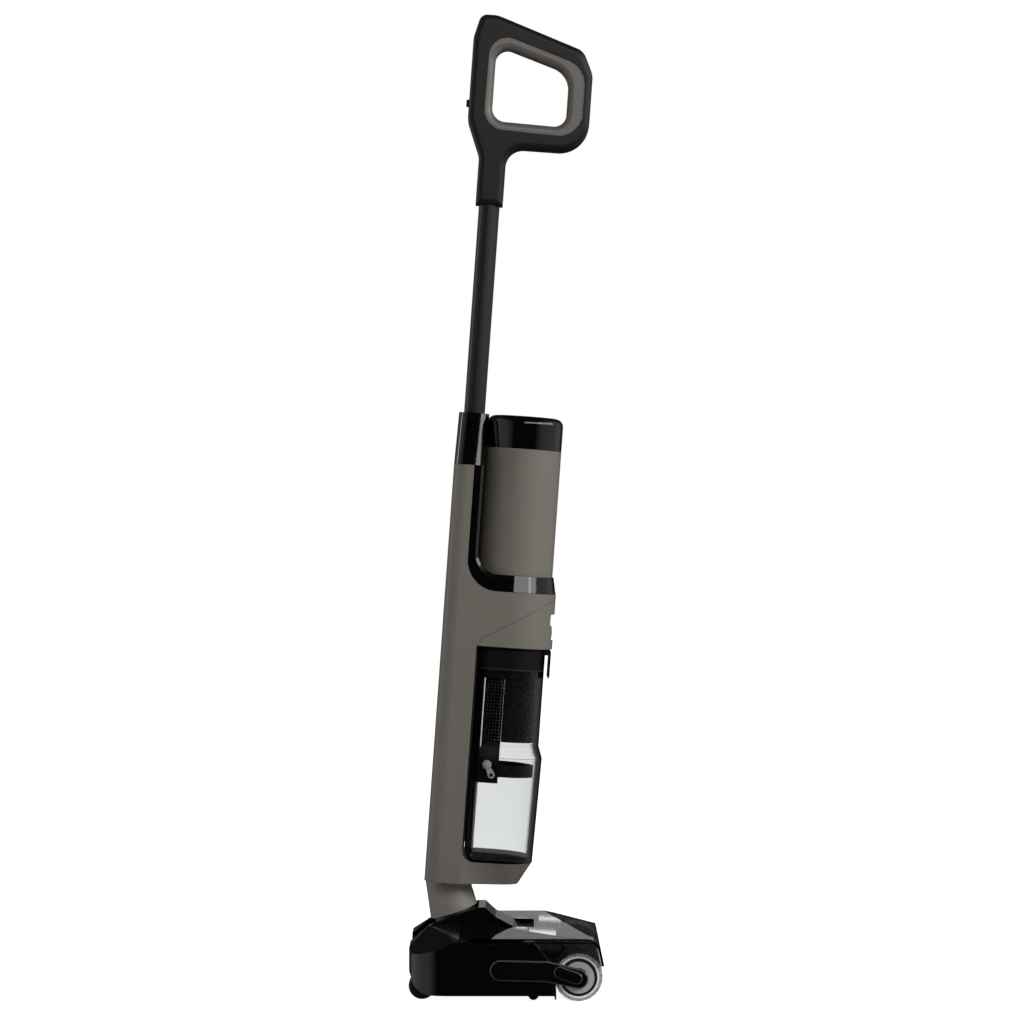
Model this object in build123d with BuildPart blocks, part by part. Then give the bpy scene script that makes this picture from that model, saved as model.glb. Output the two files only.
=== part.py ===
"""Upright wet and dry floor scrubber: a leaning body with two tanks on a wide floor head.

Millimetres. The head stands on the floor at Z = 0, X points forward and Y = 0 is the middle
plane. Sizes of the body are measured from the recline pivot, forward and up along its lean.
"""

import os
from math import cos, radians, sin

from build123d import *

os.makedirs("parts", exist_ok=True)

# Clearances and moulded walls
FIT = 0.05
SEAM = 0.25
GAP = 0.3
WALL = 2.5

# Stance of the parked machine
LEAN = 4.1
NECK_TILT = 18.5
PIVOT_X = -46.0
PIVOT_Z = 45.0

# Body, forward and up from the pivot
BODY_BACK = -53.0
BODY_HALF = 49.0
BODY_CORNER = 16.0
TANK_AXIS = 25.0
BODY_BOTTOM = 77.0
SHELF_TOP = 102.0
SHELF_RADIUS = 43.0
TOE_RADIUS = 29.0
BAY_BACK = -12.5
BAY_CORNER = 13.0
BAY_TOP = 348.0
SEAT = 411.0
SEAT_CORNER = 35.0
SPINE_FRONT = -29.5
SPINE_TOP = 552.0
BODY_NOSE = TANK_AXIS + BODY_HALF

lean = radians(LEAN)
tilt = radians(NECK_TILT)
BODY_SIDE = Plane((PIVOT_X, 0, PIVOT_Z), x_dir=(cos(lean), 0, -sin(lean)), z_dir=(0, -1, 0))
BODY_TOP = Plane(BODY_SIDE.origin, x_dir=BODY_SIDE.x_dir, z_dir=(sin(lean), 0, cos(lean)))
BODY_FRONT = Plane(BODY_SIDE.origin, x_dir=(0, 1, 0), z_dir=BODY_SIDE.x_dir)
NECK_LINE = Plane(BODY_SIDE.origin, x_dir=(cos(tilt), 0, sin(tilt)), z_dir=(-sin(tilt), 0, cos(tilt)))


def level(height):
    """Plane across the body at a height along its lean."""
    return BODY_TOP.offset(height)


def upright(forward):
    """Line along the body at a distance forward of the pivot."""
    return Axis(BODY_TOP.from_local_coords((forward, 0, 0)), BODY_TOP.z_dir)


def write(piece, name):
    """Names a finished piece and writes its file."""
    piece.part.label = name
    export_step(piece.part, f"parts/{name}.step")


def round_corner(sketch, corner, radius):
    """Rounds the corner of a sketch nearest to a point."""
    fillet(sketch.vertices().sort_by_distance(corner)[0], radius)


def nose_plan(sketch, inset, nose):
    """Square back with rounded corners, drawn tight to a round nose about the tank axis."""
    back = BODY_BACK + inset
    with Locations(((back + BAY_BACK) / 2, 0)):
        Rectangle(BAY_BACK - back, 2 * (BODY_HALF - inset))
    with Locations((TANK_AXIS, 0)):
        Circle(nose - inset)
    make_hull()
    fillet(sketch.vertices().group_by(Axis.X)[0], BODY_CORNER - inset)


def body_form(inset):
    """Outside of the body, or the same form drawn inwards by a wall."""
    with BuildPart() as plan_form:
        with BuildSketch(level(BODY_BOTTOM)) as toe:
            nose_plan(toe, inset, TOE_RADIUS)
        with BuildSketch(level(SHELF_TOP)) as shelf:
            nose_plan(shelf, inset, SHELF_RADIUS)
        loft()
        with BuildSketch(level(SHELF_TOP)) as leg:
            nose_plan(leg, inset, SHELF_RADIUS)
        extrude(amount=BAY_TOP - SHELF_TOP)
        with BuildSketch(level(BAY_TOP)) as chest:
            nose_plan(chest, inset, BODY_HALF)
        extrude(amount=SPINE_TOP - BAY_TOP)
    with BuildPart() as form:
        with BuildSketch(BODY_SIDE) as outline:
            Polygon(
                (BODY_BACK, BODY_BOTTOM),
                (BODY_NOSE, BODY_BOTTOM),
                (BODY_NOSE, SHELF_TOP),
                (BAY_BACK, SHELF_TOP),
                (BAY_BACK, BAY_TOP),
                (BODY_NOSE, BAY_TOP),
                (BODY_NOSE, SEAT),
                (SPINE_FRONT, SEAT),
                (SPINE_FRONT, SPINE_TOP),
                (BODY_BACK, SPINE_TOP),
                align=None,
            )
            round_corner(outline, (BAY_BACK, SHELF_TOP), BAY_CORNER)
            round_corner(outline, (SPINE_FRONT, SEAT), SEAT_CORNER)
            if inset:
                offset(amount=-inset, kind=Kind.INTERSECTION)
        extrude(amount=BODY_HALF, both=True)
        add(plan_form.part, mode=Mode.INTERSECT)
    return form.part


BODY_OUTSIDE = body_form(0)
BODY_INSIDE = body_form(WALL)

# Body shells: a hollow C round the dirty tank, parted on the middle plane, four screws
SCREW_R = 1.6
SCREW_HEAD_R = 3.2
SCREW_HEAD = 3.0
BOSS_R = 4.0
BODY_SCREW_LINE = BODY_BACK + WALL + BOSS_R + 0.5
BODY_SCREWS = [(BODY_SCREW_LINE, height) for height in (125, 364, 424, 541)]
BODY_SCREW_SEAT = 40.0
BODY_SCREW_TIP = 14.0
COVER_STEP = 6.0
COVER_RISE = 9.0
COVER_FRONT = 57.0
SWIVEL = -27.0
BUSH_R = 20.5
DUCT_SIDE = 16.0
DUCT_R = 11.0
INLET_HEIGHT = 334.0
WAND_LINE = -34.4
WIRE_HOLE_R = 5.0
VALVE_HOLE_R = 6.0
COVER_REGION = [
    (BAY_BACK, BAY_TOP - 1),
    (BODY_NOSE + 1, BAY_TOP - 1),
    (BODY_NOSE + 1, BAY_TOP + COVER_FRONT),
    (BAY_BACK + COVER_STEP, BAY_TOP + COVER_RISE),
]

with BuildPart() as body_bosses:
    with BuildSketch(BODY_SIDE):
        with Locations(*BODY_SCREWS):
            Circle(BOSS_R)
    extrude(amount=BODY_HALF, both=True)
    add(BODY_OUTSIDE, mode=Mode.INTERSECT)

with BuildPart() as body_shell:
    add(BODY_OUTSIDE)
    add(BODY_INSIDE, mode=Mode.SUBTRACT)
    add(body_bosses.part)
    with BuildSketch(BODY_SIDE.offset(-BODY_SCREW_SEAT)):
        with Locations(*BODY_SCREWS):
            Circle(SCREW_R)
    extrude(amount=BODY_SCREW_SEAT + BODY_SCREW_TIP, mode=Mode.SUBTRACT)
    with BuildSketch(BODY_SIDE.offset(-BODY_SCREW_SEAT)):
        with Locations(*BODY_SCREWS):
            Circle(SCREW_HEAD_R + GAP)
    extrude(amount=-BODY_HALF, mode=Mode.SUBTRACT)
    with BuildSketch(level(BODY_BOTTOM)):
        with Locations((SWIVEL, 0)):
            Circle(BUSH_R)
    extrude(amount=2 * WALL, mode=Mode.SUBTRACT)
    with BuildSketch(BODY_FRONT.offset(BAY_BACK)):
        with Locations((DUCT_SIDE, INLET_HEIGHT)):
            Circle(DUCT_R)
    extrude(amount=-2 * WALL, mode=Mode.SUBTRACT)
    with BuildSketch(level(SPINE_TOP)):
        with Locations((WAND_LINE, 0)):
            Circle(WIRE_HOLE_R)
    extrude(amount=-2 * WALL, mode=Mode.SUBTRACT)
    with BuildSketch(level(SEAT)):
        with Locations((TANK_AXIS, 0)):
            Circle(VALVE_HOLE_R)
    extrude(amount=-2 * WALL, mode=Mode.SUBTRACT)
    with BuildSketch(BODY_SIDE):
        Polygon(*COVER_REGION, align=None)
        offset(amount=SEAM, kind=Kind.INTERSECTION)
    extrude(amount=BODY_HALF + 1, both=True, mode=Mode.SUBTRACT)

with BuildPart() as body_shell_right:
    add(body_shell.part)
    split(bisect_by=Plane.XZ, keep=Keep.TOP)
write(body_shell_right, "body_shell_right")

with BuildPart() as body_shell_left:
    add(body_shell.part)
    split(bisect_by=Plane.XZ, keep=Keep.BOTTOM)
write(body_shell_left, "body_shell_left")

with BuildPart() as body_screws:
    with BuildSketch(BODY_SIDE.offset(-BODY_SCREW_SEAT)):
        with Locations(*BODY_SCREWS):
            Circle(SCREW_R)
    extrude(amount=BODY_SCREW_SEAT + BODY_SCREW_TIP)
    with BuildSketch(BODY_SIDE.offset(-BODY_SCREW_SEAT)):
        with Locations(*BODY_SCREWS):
            Circle(SCREW_HEAD_R)
    extrude(amount=-SCREW_HEAD)
write(body_screws, "body_screws")

# Motor cover: front of the chest, with a finger recess above the tank release button
PAD_BACK = 61.0
PAD_HALF = 24.0
PAD_HEIGHT = 44.0
RECESS_BACK = 68.0
RECESS_HALF = 20.0
RECESS_LOW = 374.0
RECESS_HIGH = 388.0
BUTTON_BACK = 64.0
BUTTON_FRONT = 72.2
BUTTON_HALF = 14.0
BUTTON_LOW = 361.5
BUTTON_HIGH = 372.0
BUTTON_TRAVEL = 3.0
FAN_LINE = 20.0
FAN_INLET_R = 20.0

with BuildPart() as cover_pad:
    with BuildSketch(level(BAY_TOP)):
        with Locations(((PAD_BACK + BODY_NOSE) / 2, 0)):
            Rectangle(BODY_NOSE - PAD_BACK, 2 * PAD_HALF)
    extrude(amount=PAD_HEIGHT)
    add(BODY_OUTSIDE, mode=Mode.INTERSECT)

with BuildPart() as motor_cover:
    add(BODY_OUTSIDE)
    add(BODY_INSIDE, mode=Mode.SUBTRACT)
    add(cover_pad.part)
    with BuildSketch(BODY_SIDE):
        Polygon(*COVER_REGION, align=None)
    extrude(amount=BODY_HALF + 1, both=True, mode=Mode.INTERSECT)
    with BuildSketch(BODY_SIDE):
        with Locations(((RECESS_BACK + BODY_NOSE + 5) / 2, (RECESS_LOW + RECESS_HIGH) / 2)):
            Rectangle(BODY_NOSE + 5 - RECESS_BACK, RECESS_HIGH - RECESS_LOW)
    extrude(amount=RECESS_HALF, both=True, mode=Mode.SUBTRACT)
    with BuildSketch(BODY_SIDE):
        Polygon(
            (BUTTON_BACK - GAP, BUTTON_LOW - BUTTON_TRAVEL - GAP),
            (BODY_NOSE + 5, BUTTON_LOW - BUTTON_TRAVEL - GAP),
            (BODY_NOSE + 5, RECESS_LOW),
            (BUTTON_BACK - GAP, RECESS_LOW),
            align=None,
        )
    extrude(amount=BUTTON_HALF + GAP, both=True, mode=Mode.SUBTRACT)
    with BuildSketch(level(BAY_TOP)):
        with Locations((FAN_LINE, 0)):
            Circle(FAN_INLET_R)
    extrude(amount=2 * WALL, mode=Mode.SUBTRACT)
write(motor_cover, "motor_cover")

with BuildPart() as release_button:
    with BuildSketch(BODY_SIDE) as button_side:
        Polygon(
            (BUTTON_BACK, BUTTON_LOW),
            (BUTTON_FRONT, BUTTON_LOW),
            (BUTTON_FRONT, BUTTON_HIGH),
            (BUTTON_BACK, BUTTON_HIGH),
            align=None,
        )
        round_corner(button_side, (BUTTON_FRONT, BUTTON_HIGH), 3)
        round_corner(button_side, (BUTTON_FRONT, BUTTON_LOW), 2)
    extrude(amount=BUTTON_HALF, both=True)
write(release_button, "release_button")

# Cradle liner: gloss collar round the wand, back wall and cup that hold the clean tank
TANK_R = 43.5
TANK_PLAY = 0.8
LINER_HALF = 47.5
LINER_FRONT = -18.3
CUP_TOP = 430.0
CUP_FLOOR = 414.5
CUP_CORNER = 24.0
COLLAR_TOP = 612.0
COLLAR_HALF = 26.0
COLLAR_INSET = 1.2
COLLAR_FRONT = -17.0
COLLAR_CORNER = 16.0
LIP_BEVEL = 3.0
FLARE_FOOT = BODY_HALF - 0.5
FLARE_RIM = TANK_R + TANK_PLAY + 0.7
WAND_R = 12.0
WAND_WALL = 1.5
WAND_BOTTOM = 557.0
BOTTLE_ROUND = 16.0

with BuildPart() as cup_flare:
    with BuildSketch(BODY_SIDE):
        Polygon(
            (TANK_AXIS + FLARE_FOOT, SEAT + SEAM),
            (TANK_AXIS + 2 * FLARE_FOOT, SEAT + SEAM),
            (TANK_AXIS + 2 * FLARE_FOOT, CUP_TOP + 1),
            (TANK_AXIS + FLARE_RIM, CUP_TOP + 1),
            (TANK_AXIS + FLARE_RIM, CUP_TOP),
            align=None,
        )
    revolve(axis=upright(TANK_AXIS))
    split(bisect_by=BODY_FRONT.offset(TANK_AXIS), keep=Keep.TOP)

with BuildPart() as cradle_liner:
    with BuildSketch(BODY_SIDE) as outline:
        Polygon(
            (SPINE_FRONT + SEAM, SEAT + SEAM),
            (BODY_NOSE, SEAT + SEAM),
            (BODY_NOSE, CUP_TOP),
            (LINER_FRONT, CUP_TOP),
            (LINER_FRONT, SPINE_TOP + SEAM),
            (SPINE_FRONT + SEAM, SPINE_TOP + SEAM),
            align=None,
        )
        round_corner(outline, (SPINE_FRONT, SEAT), SEAT_CORNER - SEAM)
        round_corner(outline, (LINER_FRONT, CUP_TOP), CUP_CORNER)
    extrude(amount=BODY_HALF, both=True)
    with BuildSketch(level(SEAT)) as plan:
        nose_plan(plan, BODY_HALF - LINER_HALF, FLARE_FOOT + BODY_HALF - LINER_HALF)
    extrude(amount=SPINE_TOP + SEAM - SEAT, mode=Mode.INTERSECT)
    places = [(edge, BODY_SIDE.to_local_coords(edge.center())) for edge in cradle_liner.edges()]
    lip = [
        edge
        for edge, place in places
        if abs(place.Z) > LINER_HALF - 1 and place.X > LINER_FRONT - 1 and place.Y > CUP_TOP - 1
    ]
    chamfer(lip, LIP_BEVEL)
    add(cup_flare.part, mode=Mode.SUBTRACT)
    with BuildSketch(level(SPINE_TOP + SEAM)) as foot:
        with Locations(((BODY_BACK + LINER_FRONT) / 2, 0)):
            RectangleRounded(LINER_FRONT - BODY_BACK, 2 * LINER_HALF, COLLAR_CORNER)
    with BuildSketch(level(COLLAR_TOP)) as rim:
        with Locations(((BODY_BACK + COLLAR_INSET + COLLAR_FRONT) / 2, 0)):
            RectangleRounded(COLLAR_FRONT - BODY_BACK - COLLAR_INSET, 2 * COLLAR_HALF, COLLAR_CORNER)
    loft()
    with BuildSketch(BODY_SIDE) as trough:
        Polygon(
            (TANK_AXIS, CUP_FLOOR),
            (TANK_AXIS + TANK_R + TANK_PLAY, CUP_FLOOR),
            (TANK_AXIS + TANK_R + TANK_PLAY, COLLAR_TOP + 1),
            (TANK_AXIS, COLLAR_TOP + 1),
            align=None,
        )
        round_corner(trough, (TANK_AXIS + TANK_R + TANK_PLAY, CUP_FLOOR), BOTTLE_ROUND)
    revolve(axis=upright(TANK_AXIS), mode=Mode.SUBTRACT)
    with BuildSketch(level(SEAT)):
        with Locations((TANK_AXIS, 0)):
            Circle(VALVE_HOLE_R)
    extrude(amount=CUP_TOP - SEAT, mode=Mode.SUBTRACT)
    with BuildSketch(level(WAND_BOTTOM)):
        with Locations((WAND_LINE, 0)):
            Circle(WAND_R)
    extrude(amount=COLLAR_TOP - WAND_BOTTOM, mode=Mode.SUBTRACT)
    with BuildSketch(level(SPINE_TOP)):
        with Locations((WAND_LINE, 0)):
            Circle(WIRE_HOLE_R)
    extrude(amount=WAND_BOTTOM - SPINE_TOP, mode=Mode.SUBTRACT)
write(cradle_liner, "cradle_liner")

# Clean water tank: round bottle with a valve in its floor and a screw cap flush with its side
BOTTLE_WALL = 2.2
BOTTLE_BOTTOM = CUP_FLOOR + 0.5
BOTTLE_TOP = 574.5
BOTTLE_NECK_R = 30.0
CAP_TOP = 612.0
CAP_WALL = 2.5
CAP_ROUND = 9.0
SEAL_HEIGHT = 2.7
VALVE_R = 9.0
VALVE_STEM_R = 4.0
VALVE_DROP = 5.0
neck_top = CAP_TOP - CAP_WALL - SEAL_HEIGHT

with BuildPart() as clean_tank:
    with BuildSketch(BODY_SIDE) as profile:
        Polygon(
            (TANK_AXIS + VALVE_R, BOTTLE_BOTTOM),
            (TANK_AXIS + TANK_R, BOTTLE_BOTTOM),
            (TANK_AXIS + TANK_R, BOTTLE_TOP),
            (TANK_AXIS + BOTTLE_NECK_R, BOTTLE_TOP),
            (TANK_AXIS + BOTTLE_NECK_R, neck_top),
            (TANK_AXIS + BOTTLE_NECK_R - BOTTLE_WALL, neck_top),
            (TANK_AXIS + BOTTLE_NECK_R - BOTTLE_WALL, BOTTLE_TOP - BOTTLE_WALL),
            (TANK_AXIS + TANK_R - BOTTLE_WALL, BOTTLE_TOP - BOTTLE_WALL),
            (TANK_AXIS + TANK_R - BOTTLE_WALL, BOTTLE_BOTTOM + BOTTLE_WALL),
            (TANK_AXIS + VALVE_R, BOTTLE_BOTTOM + BOTTLE_WALL),
            align=None,
        )
        round_corner(profile, (TANK_AXIS + TANK_R, BOTTLE_BOTTOM), BOTTLE_ROUND)
        inner_foot = (TANK_AXIS + TANK_R - BOTTLE_WALL, BOTTLE_BOTTOM + BOTTLE_WALL)
        chamfer(profile.vertices().sort_by_distance(inner_foot)[0], BOTTLE_ROUND - BOTTLE_WALL)
    revolve(axis=upright(TANK_AXIS))
write(clean_tank, "clean_tank")

with BuildPart() as tank_valve:
    with BuildSketch(BODY_SIDE):
        Polygon(
            (TANK_AXIS, BOTTLE_BOTTOM - VALVE_DROP),
            (TANK_AXIS + VALVE_STEM_R, BOTTLE_BOTTOM - VALVE_DROP),
            (TANK_AXIS + VALVE_STEM_R, BOTTLE_BOTTOM),
            (TANK_AXIS + VALVE_R, BOTTLE_BOTTOM),
            (TANK_AXIS + VALVE_R, BOTTLE_BOTTOM + BOTTLE_WALL),
            (TANK_AXIS + VALVE_R + 3, BOTTLE_BOTTOM + BOTTLE_WALL),
            (TANK_AXIS + VALVE_R + 3, BOTTLE_BOTTOM + 2 * BOTTLE_WALL),
            (TANK_AXIS, BOTTLE_BOTTOM + 2 * BOTTLE_WALL),
            align=None,
        )
    revolve(axis=upright(TANK_AXIS))
write(tank_valve, "tank_valve")

with BuildPart() as tank_cap:
    with BuildSketch(BODY_SIDE) as profile:
        Polygon(
            (TANK_AXIS, CAP_TOP - CAP_WALL),
            (TANK_AXIS + BOTTLE_NECK_R + GAP, CAP_TOP - CAP_WALL),
            (TANK_AXIS + BOTTLE_NECK_R + GAP, BOTTLE_TOP + 4),
            (TANK_AXIS + BOTTLE_NECK_R + CAP_WALL, BOTTLE_TOP + 4),
            (TANK_AXIS + BOTTLE_NECK_R + CAP_WALL, CAP_TOP - CAP_WALL),
            (TANK_AXIS + TANK_R - CAP_WALL, CAP_TOP - CAP_WALL),
            (TANK_AXIS + TANK_R - CAP_WALL, BOTTLE_TOP + GAP),
            (TANK_AXIS + TANK_R, BOTTLE_TOP + GAP),
            (TANK_AXIS + TANK_R, CAP_TOP),
            (TANK_AXIS, CAP_TOP),
            align=None,
        )
        round_corner(profile, (TANK_AXIS + TANK_R, CAP_TOP), CAP_ROUND)
        inner_rim = (TANK_AXIS + TANK_R - CAP_WALL, CAP_TOP - CAP_WALL)
        chamfer(profile.vertices().sort_by_distance(inner_rim)[0], CAP_ROUND - CAP_WALL)
    revolve(axis=upright(TANK_AXIS))
write(tank_cap, "tank_cap")

with BuildPart() as cap_seal:
    with BuildSketch(level(neck_top)):
        with Locations((TANK_AXIS, 0)):
            Circle(BOTTLE_NECK_R)
            Circle(BOTTLE_NECK_R - BOTTLE_WALL, mode=Mode.SUBTRACT)
    extrude(amount=SEAL_HEIGHT)
write(cap_seal, "cap_seal")

# Dirty water tank: clear tub with a shoulder, flat back and round front, and its lid
CLEAR_WALL = 2.2
TUB_BACK = -10.0
TUB_CORNER = 12.0
TUB_BOTTOM = SHELF_TOP + 0.4
TUB_TOP = 322.0
TUB_FOOT_R = 43.5
SHOULDER_R = 46.3
UPPER_R = 41.5
SHOULDER_LOW = 222.0
SHOULDER_HIGH = 236.0
GASKET = 1.5
LID_TOP = BAY_TOP - 1.0
LID_BOTTOM = TUB_TOP + GASKET
LID_FLOOR = 333.5
PLUG_DEPTH = 10.0
FILTER_R = 24.0
FILTER_LINE = 37.0
FILTER_HOLE = 12.0
CHAMBER_BOTTOM = 240.0
CHAMBER_BACK = 22.5
AIR_R = 37.0
GUIDE_BOTTOM = 228.5
GUIDE_HALF = 22.0
GUIDE_FRONT = -2.0
GRIP_FRONT = 73.0
GRIP_BOTTOM = 314.0
GRIP_HALF = 16.0


def tub_plan(sketch, radius, inset):
    """Flat back with rounded corners and a half-round front."""
    back = TUB_BACK + inset
    with Locations((TANK_AXIS, 0)):
        Circle(radius - inset)
    with Locations((TANK_AXIS - radius, 0)):
        Rectangle(2 * radius, 4 * radius, mode=Mode.SUBTRACT)
    with Locations(((back + TANK_AXIS) / 2, 0)):
        Rectangle(TANK_AXIS - back, 2 * (radius - inset))
    fillet(sketch.vertices().group_by(Axis.X)[0], TUB_CORNER - inset)


def tub_form(inset):
    """Outside of the tub, or the same form drawn inwards by its wall with an open top."""
    with BuildPart() as form:
        for height, radius in (
            (TUB_BOTTOM + inset, TUB_FOOT_R),
            (SHOULDER_LOW, SHOULDER_R),
            (SHOULDER_HIGH, UPPER_R),
            (TUB_TOP, UPPER_R),
        ):
            with BuildSketch(level(height)) as section:
                tub_plan(section, radius, inset)
        loft(ruled=True)
        with BuildSketch(BODY_SIDE) as outline:
            Polygon(
                (TUB_BACK + inset, TUB_BOTTOM + inset),
                (BODY_NOSE, TUB_BOTTOM + inset),
                (BODY_NOSE, TUB_TOP),
                (TUB_BACK + inset, TUB_TOP),
                align=None,
            )
            round_corner(outline, (TUB_BACK, TUB_BOTTOM), BAY_CORNER - inset)
        extrude(amount=BODY_HALF, both=True, mode=Mode.INTERSECT)
    return form.part


with BuildPart() as dirty_tank:
    add(tub_form(0))
    add(tub_form(CLEAR_WALL), mode=Mode.SUBTRACT)
write(dirty_tank, "dirty_tank")

with BuildPart() as lid_seal:
    with BuildSketch(level(TUB_TOP)) as outer:
        tub_plan(outer, UPPER_R, 0)
    extrude(amount=GASKET)
    with BuildSketch(level(TUB_TOP)) as inner:
        tub_plan(inner, UPPER_R, CLEAR_WALL + GAP)
    extrude(amount=GASKET, mode=Mode.SUBTRACT)
write(lid_seal, "lid_seal")

with BuildPart() as tank_lid:
    with BuildSketch(level(LID_BOTTOM)) as block:
        tub_plan(block, UPPER_R, 0)
    extrude(amount=LID_TOP - LID_BOTTOM)
    with BuildSketch(level(TUB_TOP - PLUG_DEPTH)) as plug:
        tub_plan(plug, UPPER_R, CLEAR_WALL + GAP)
    extrude(amount=LID_BOTTOM - TUB_TOP + PLUG_DEPTH)
    with BuildSketch(level(TUB_TOP - PLUG_DEPTH)) as hollow:
        tub_plan(hollow, UPPER_R, CLEAR_WALL + GAP + WALL)
    extrude(amount=LID_FLOOR - WALL - TUB_TOP + PLUG_DEPTH, mode=Mode.SUBTRACT)
    with BuildSketch(level(LID_FLOOR)):
        with Locations((FILTER_LINE, 0)):
            Circle(FILTER_R)
    extrude(amount=LID_TOP - LID_FLOOR, mode=Mode.SUBTRACT)
    with BuildSketch(level(CHAMBER_BOTTOM)) as chamber:
        with Locations((TANK_AXIS, 0)):
            Circle(AIR_R)
        with Locations((CHAMBER_BACK - AIR_R, 0)):
            Rectangle(2 * AIR_R, 3 * AIR_R, mode=Mode.SUBTRACT)
    extrude(amount=LID_FLOOR - WALL - CHAMBER_BOTTOM)
    with BuildSketch(level(CHAMBER_BOTTOM)) as chamber:
        with Locations((TANK_AXIS, 0)):
            Circle(AIR_R - WALL)
        with Locations((CHAMBER_BACK + WALL - AIR_R, 0)):
            Rectangle(2 * AIR_R, 3 * AIR_R, mode=Mode.SUBTRACT)
    extrude(amount=LID_FLOOR - WALL - CHAMBER_BOTTOM, mode=Mode.SUBTRACT)
    with BuildSketch(level(LID_FLOOR)):
        with Locations((FILTER_LINE, 0)):
            Circle(FILTER_HOLE - 1)
    extrude(amount=-WALL, mode=Mode.SUBTRACT)
    with BuildSketch(level(GUIDE_BOTTOM)):
        with Locations(((TUB_BACK + CLEAR_WALL + GAP + GUIDE_FRONT) / 2, 0)):
            Rectangle(GUIDE_FRONT - TUB_BACK - CLEAR_WALL - GAP, 2 * GUIDE_HALF)
        with Locations((TUB_BACK, 0)):
            Rectangle(2 * (GUIDE_FRONT - 2 - TUB_BACK), 2 * GUIDE_HALF - 4, mode=Mode.SUBTRACT)
    extrude(amount=LID_FLOOR - WALL - GUIDE_BOTTOM)
    with BuildSketch(BODY_FRONT.offset(TUB_BACK)):
        with Locations((DUCT_SIDE, INLET_HEIGHT)):
            Circle(DUCT_R - 3)
    extrude(amount=GUIDE_FRONT - 2 - TUB_BACK, mode=Mode.SUBTRACT)
    with BuildSketch(level(TUB_TOP)):
        with Locations(((TUB_BACK + GUIDE_FRONT) / 2, DUCT_SIDE)):
            Rectangle(GUIDE_FRONT - TUB_BACK - 4, 2 * (DUCT_R - 5))
    extrude(amount=INLET_HEIGHT - TUB_TOP, mode=Mode.SUBTRACT)
    with BuildSketch(BODY_SIDE) as grip:
        Polygon(
            (TANK_AXIS + UPPER_R - 6, LID_TOP - 6),
            (GRIP_FRONT - 3, LID_TOP - 6),
            (GRIP_FRONT - 3, GRIP_BOTTOM + 3),
            (GRIP_FRONT - 1, GRIP_BOTTOM),
            (GRIP_FRONT, GRIP_BOTTOM + 3),
            (GRIP_FRONT, LID_TOP),
            (TANK_AXIS + UPPER_R - 6, LID_TOP),
            align=None,
        )
        round_corner(grip, (GRIP_FRONT, LID_TOP), 3)
    extrude(amount=GRIP_HALF, both=True)
write(tank_lid, "tank_lid")

# Filter in the lid: a ring of pleats
PLEATS = 24
PLEAT_DEPTH = 4.0

with BuildPart() as filter_ring:
    with BuildSketch(level(LID_FLOOR + GAP)):
        with Locations((FILTER_LINE, 0)):
            Polygon(
                *[
                    (
                        (FILTER_R - GAP - PLEAT_DEPTH * (step % 2)) * cos(radians(180 * step / PLEATS)),
                        (FILTER_R - GAP - PLEAT_DEPTH * (step % 2)) * sin(radians(180 * step / PLEATS)),
                    )
                    for step in range(2 * PLEATS)
                ],
                align=None,
            )
            Circle(FILTER_HOLE, mode=Mode.SUBTRACT)
    extrude(amount=LID_TOP - LID_FLOOR - 2 * GAP)
write(filter_ring, "filter_ring")

# Strainer: perforated column with a heavy foot, a half-round catch dish and the float's pin
COLUMN_BACK = 0.5
COLUMN_FRONT = CHAMBER_BACK - GAP
COLUMN_HALF = 30.0
FOOT_BACK = -5.0
FOOT_TOP = 228.0
FOOT_BOTTOM = 192.0
DISH_LOW = 200.0
DISH_HIGH = 213.0
MESH_ROWS = 21
MESH_COLUMNS = 5
MESH_PITCH = 3.7
MESH_R = 1.0
MESH_LINE = 12.0
MESH_HEIGHT = 275.0
FLOAT_R = 5.5
FLOAT_AT = (8.7, 213.0)
FLOAT_PIVOT = (14.5, 202.0)
FLOAT_SIDE = 36.0
FLOAT_ARM = 4.0
PIN_R = 2.0

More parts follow.
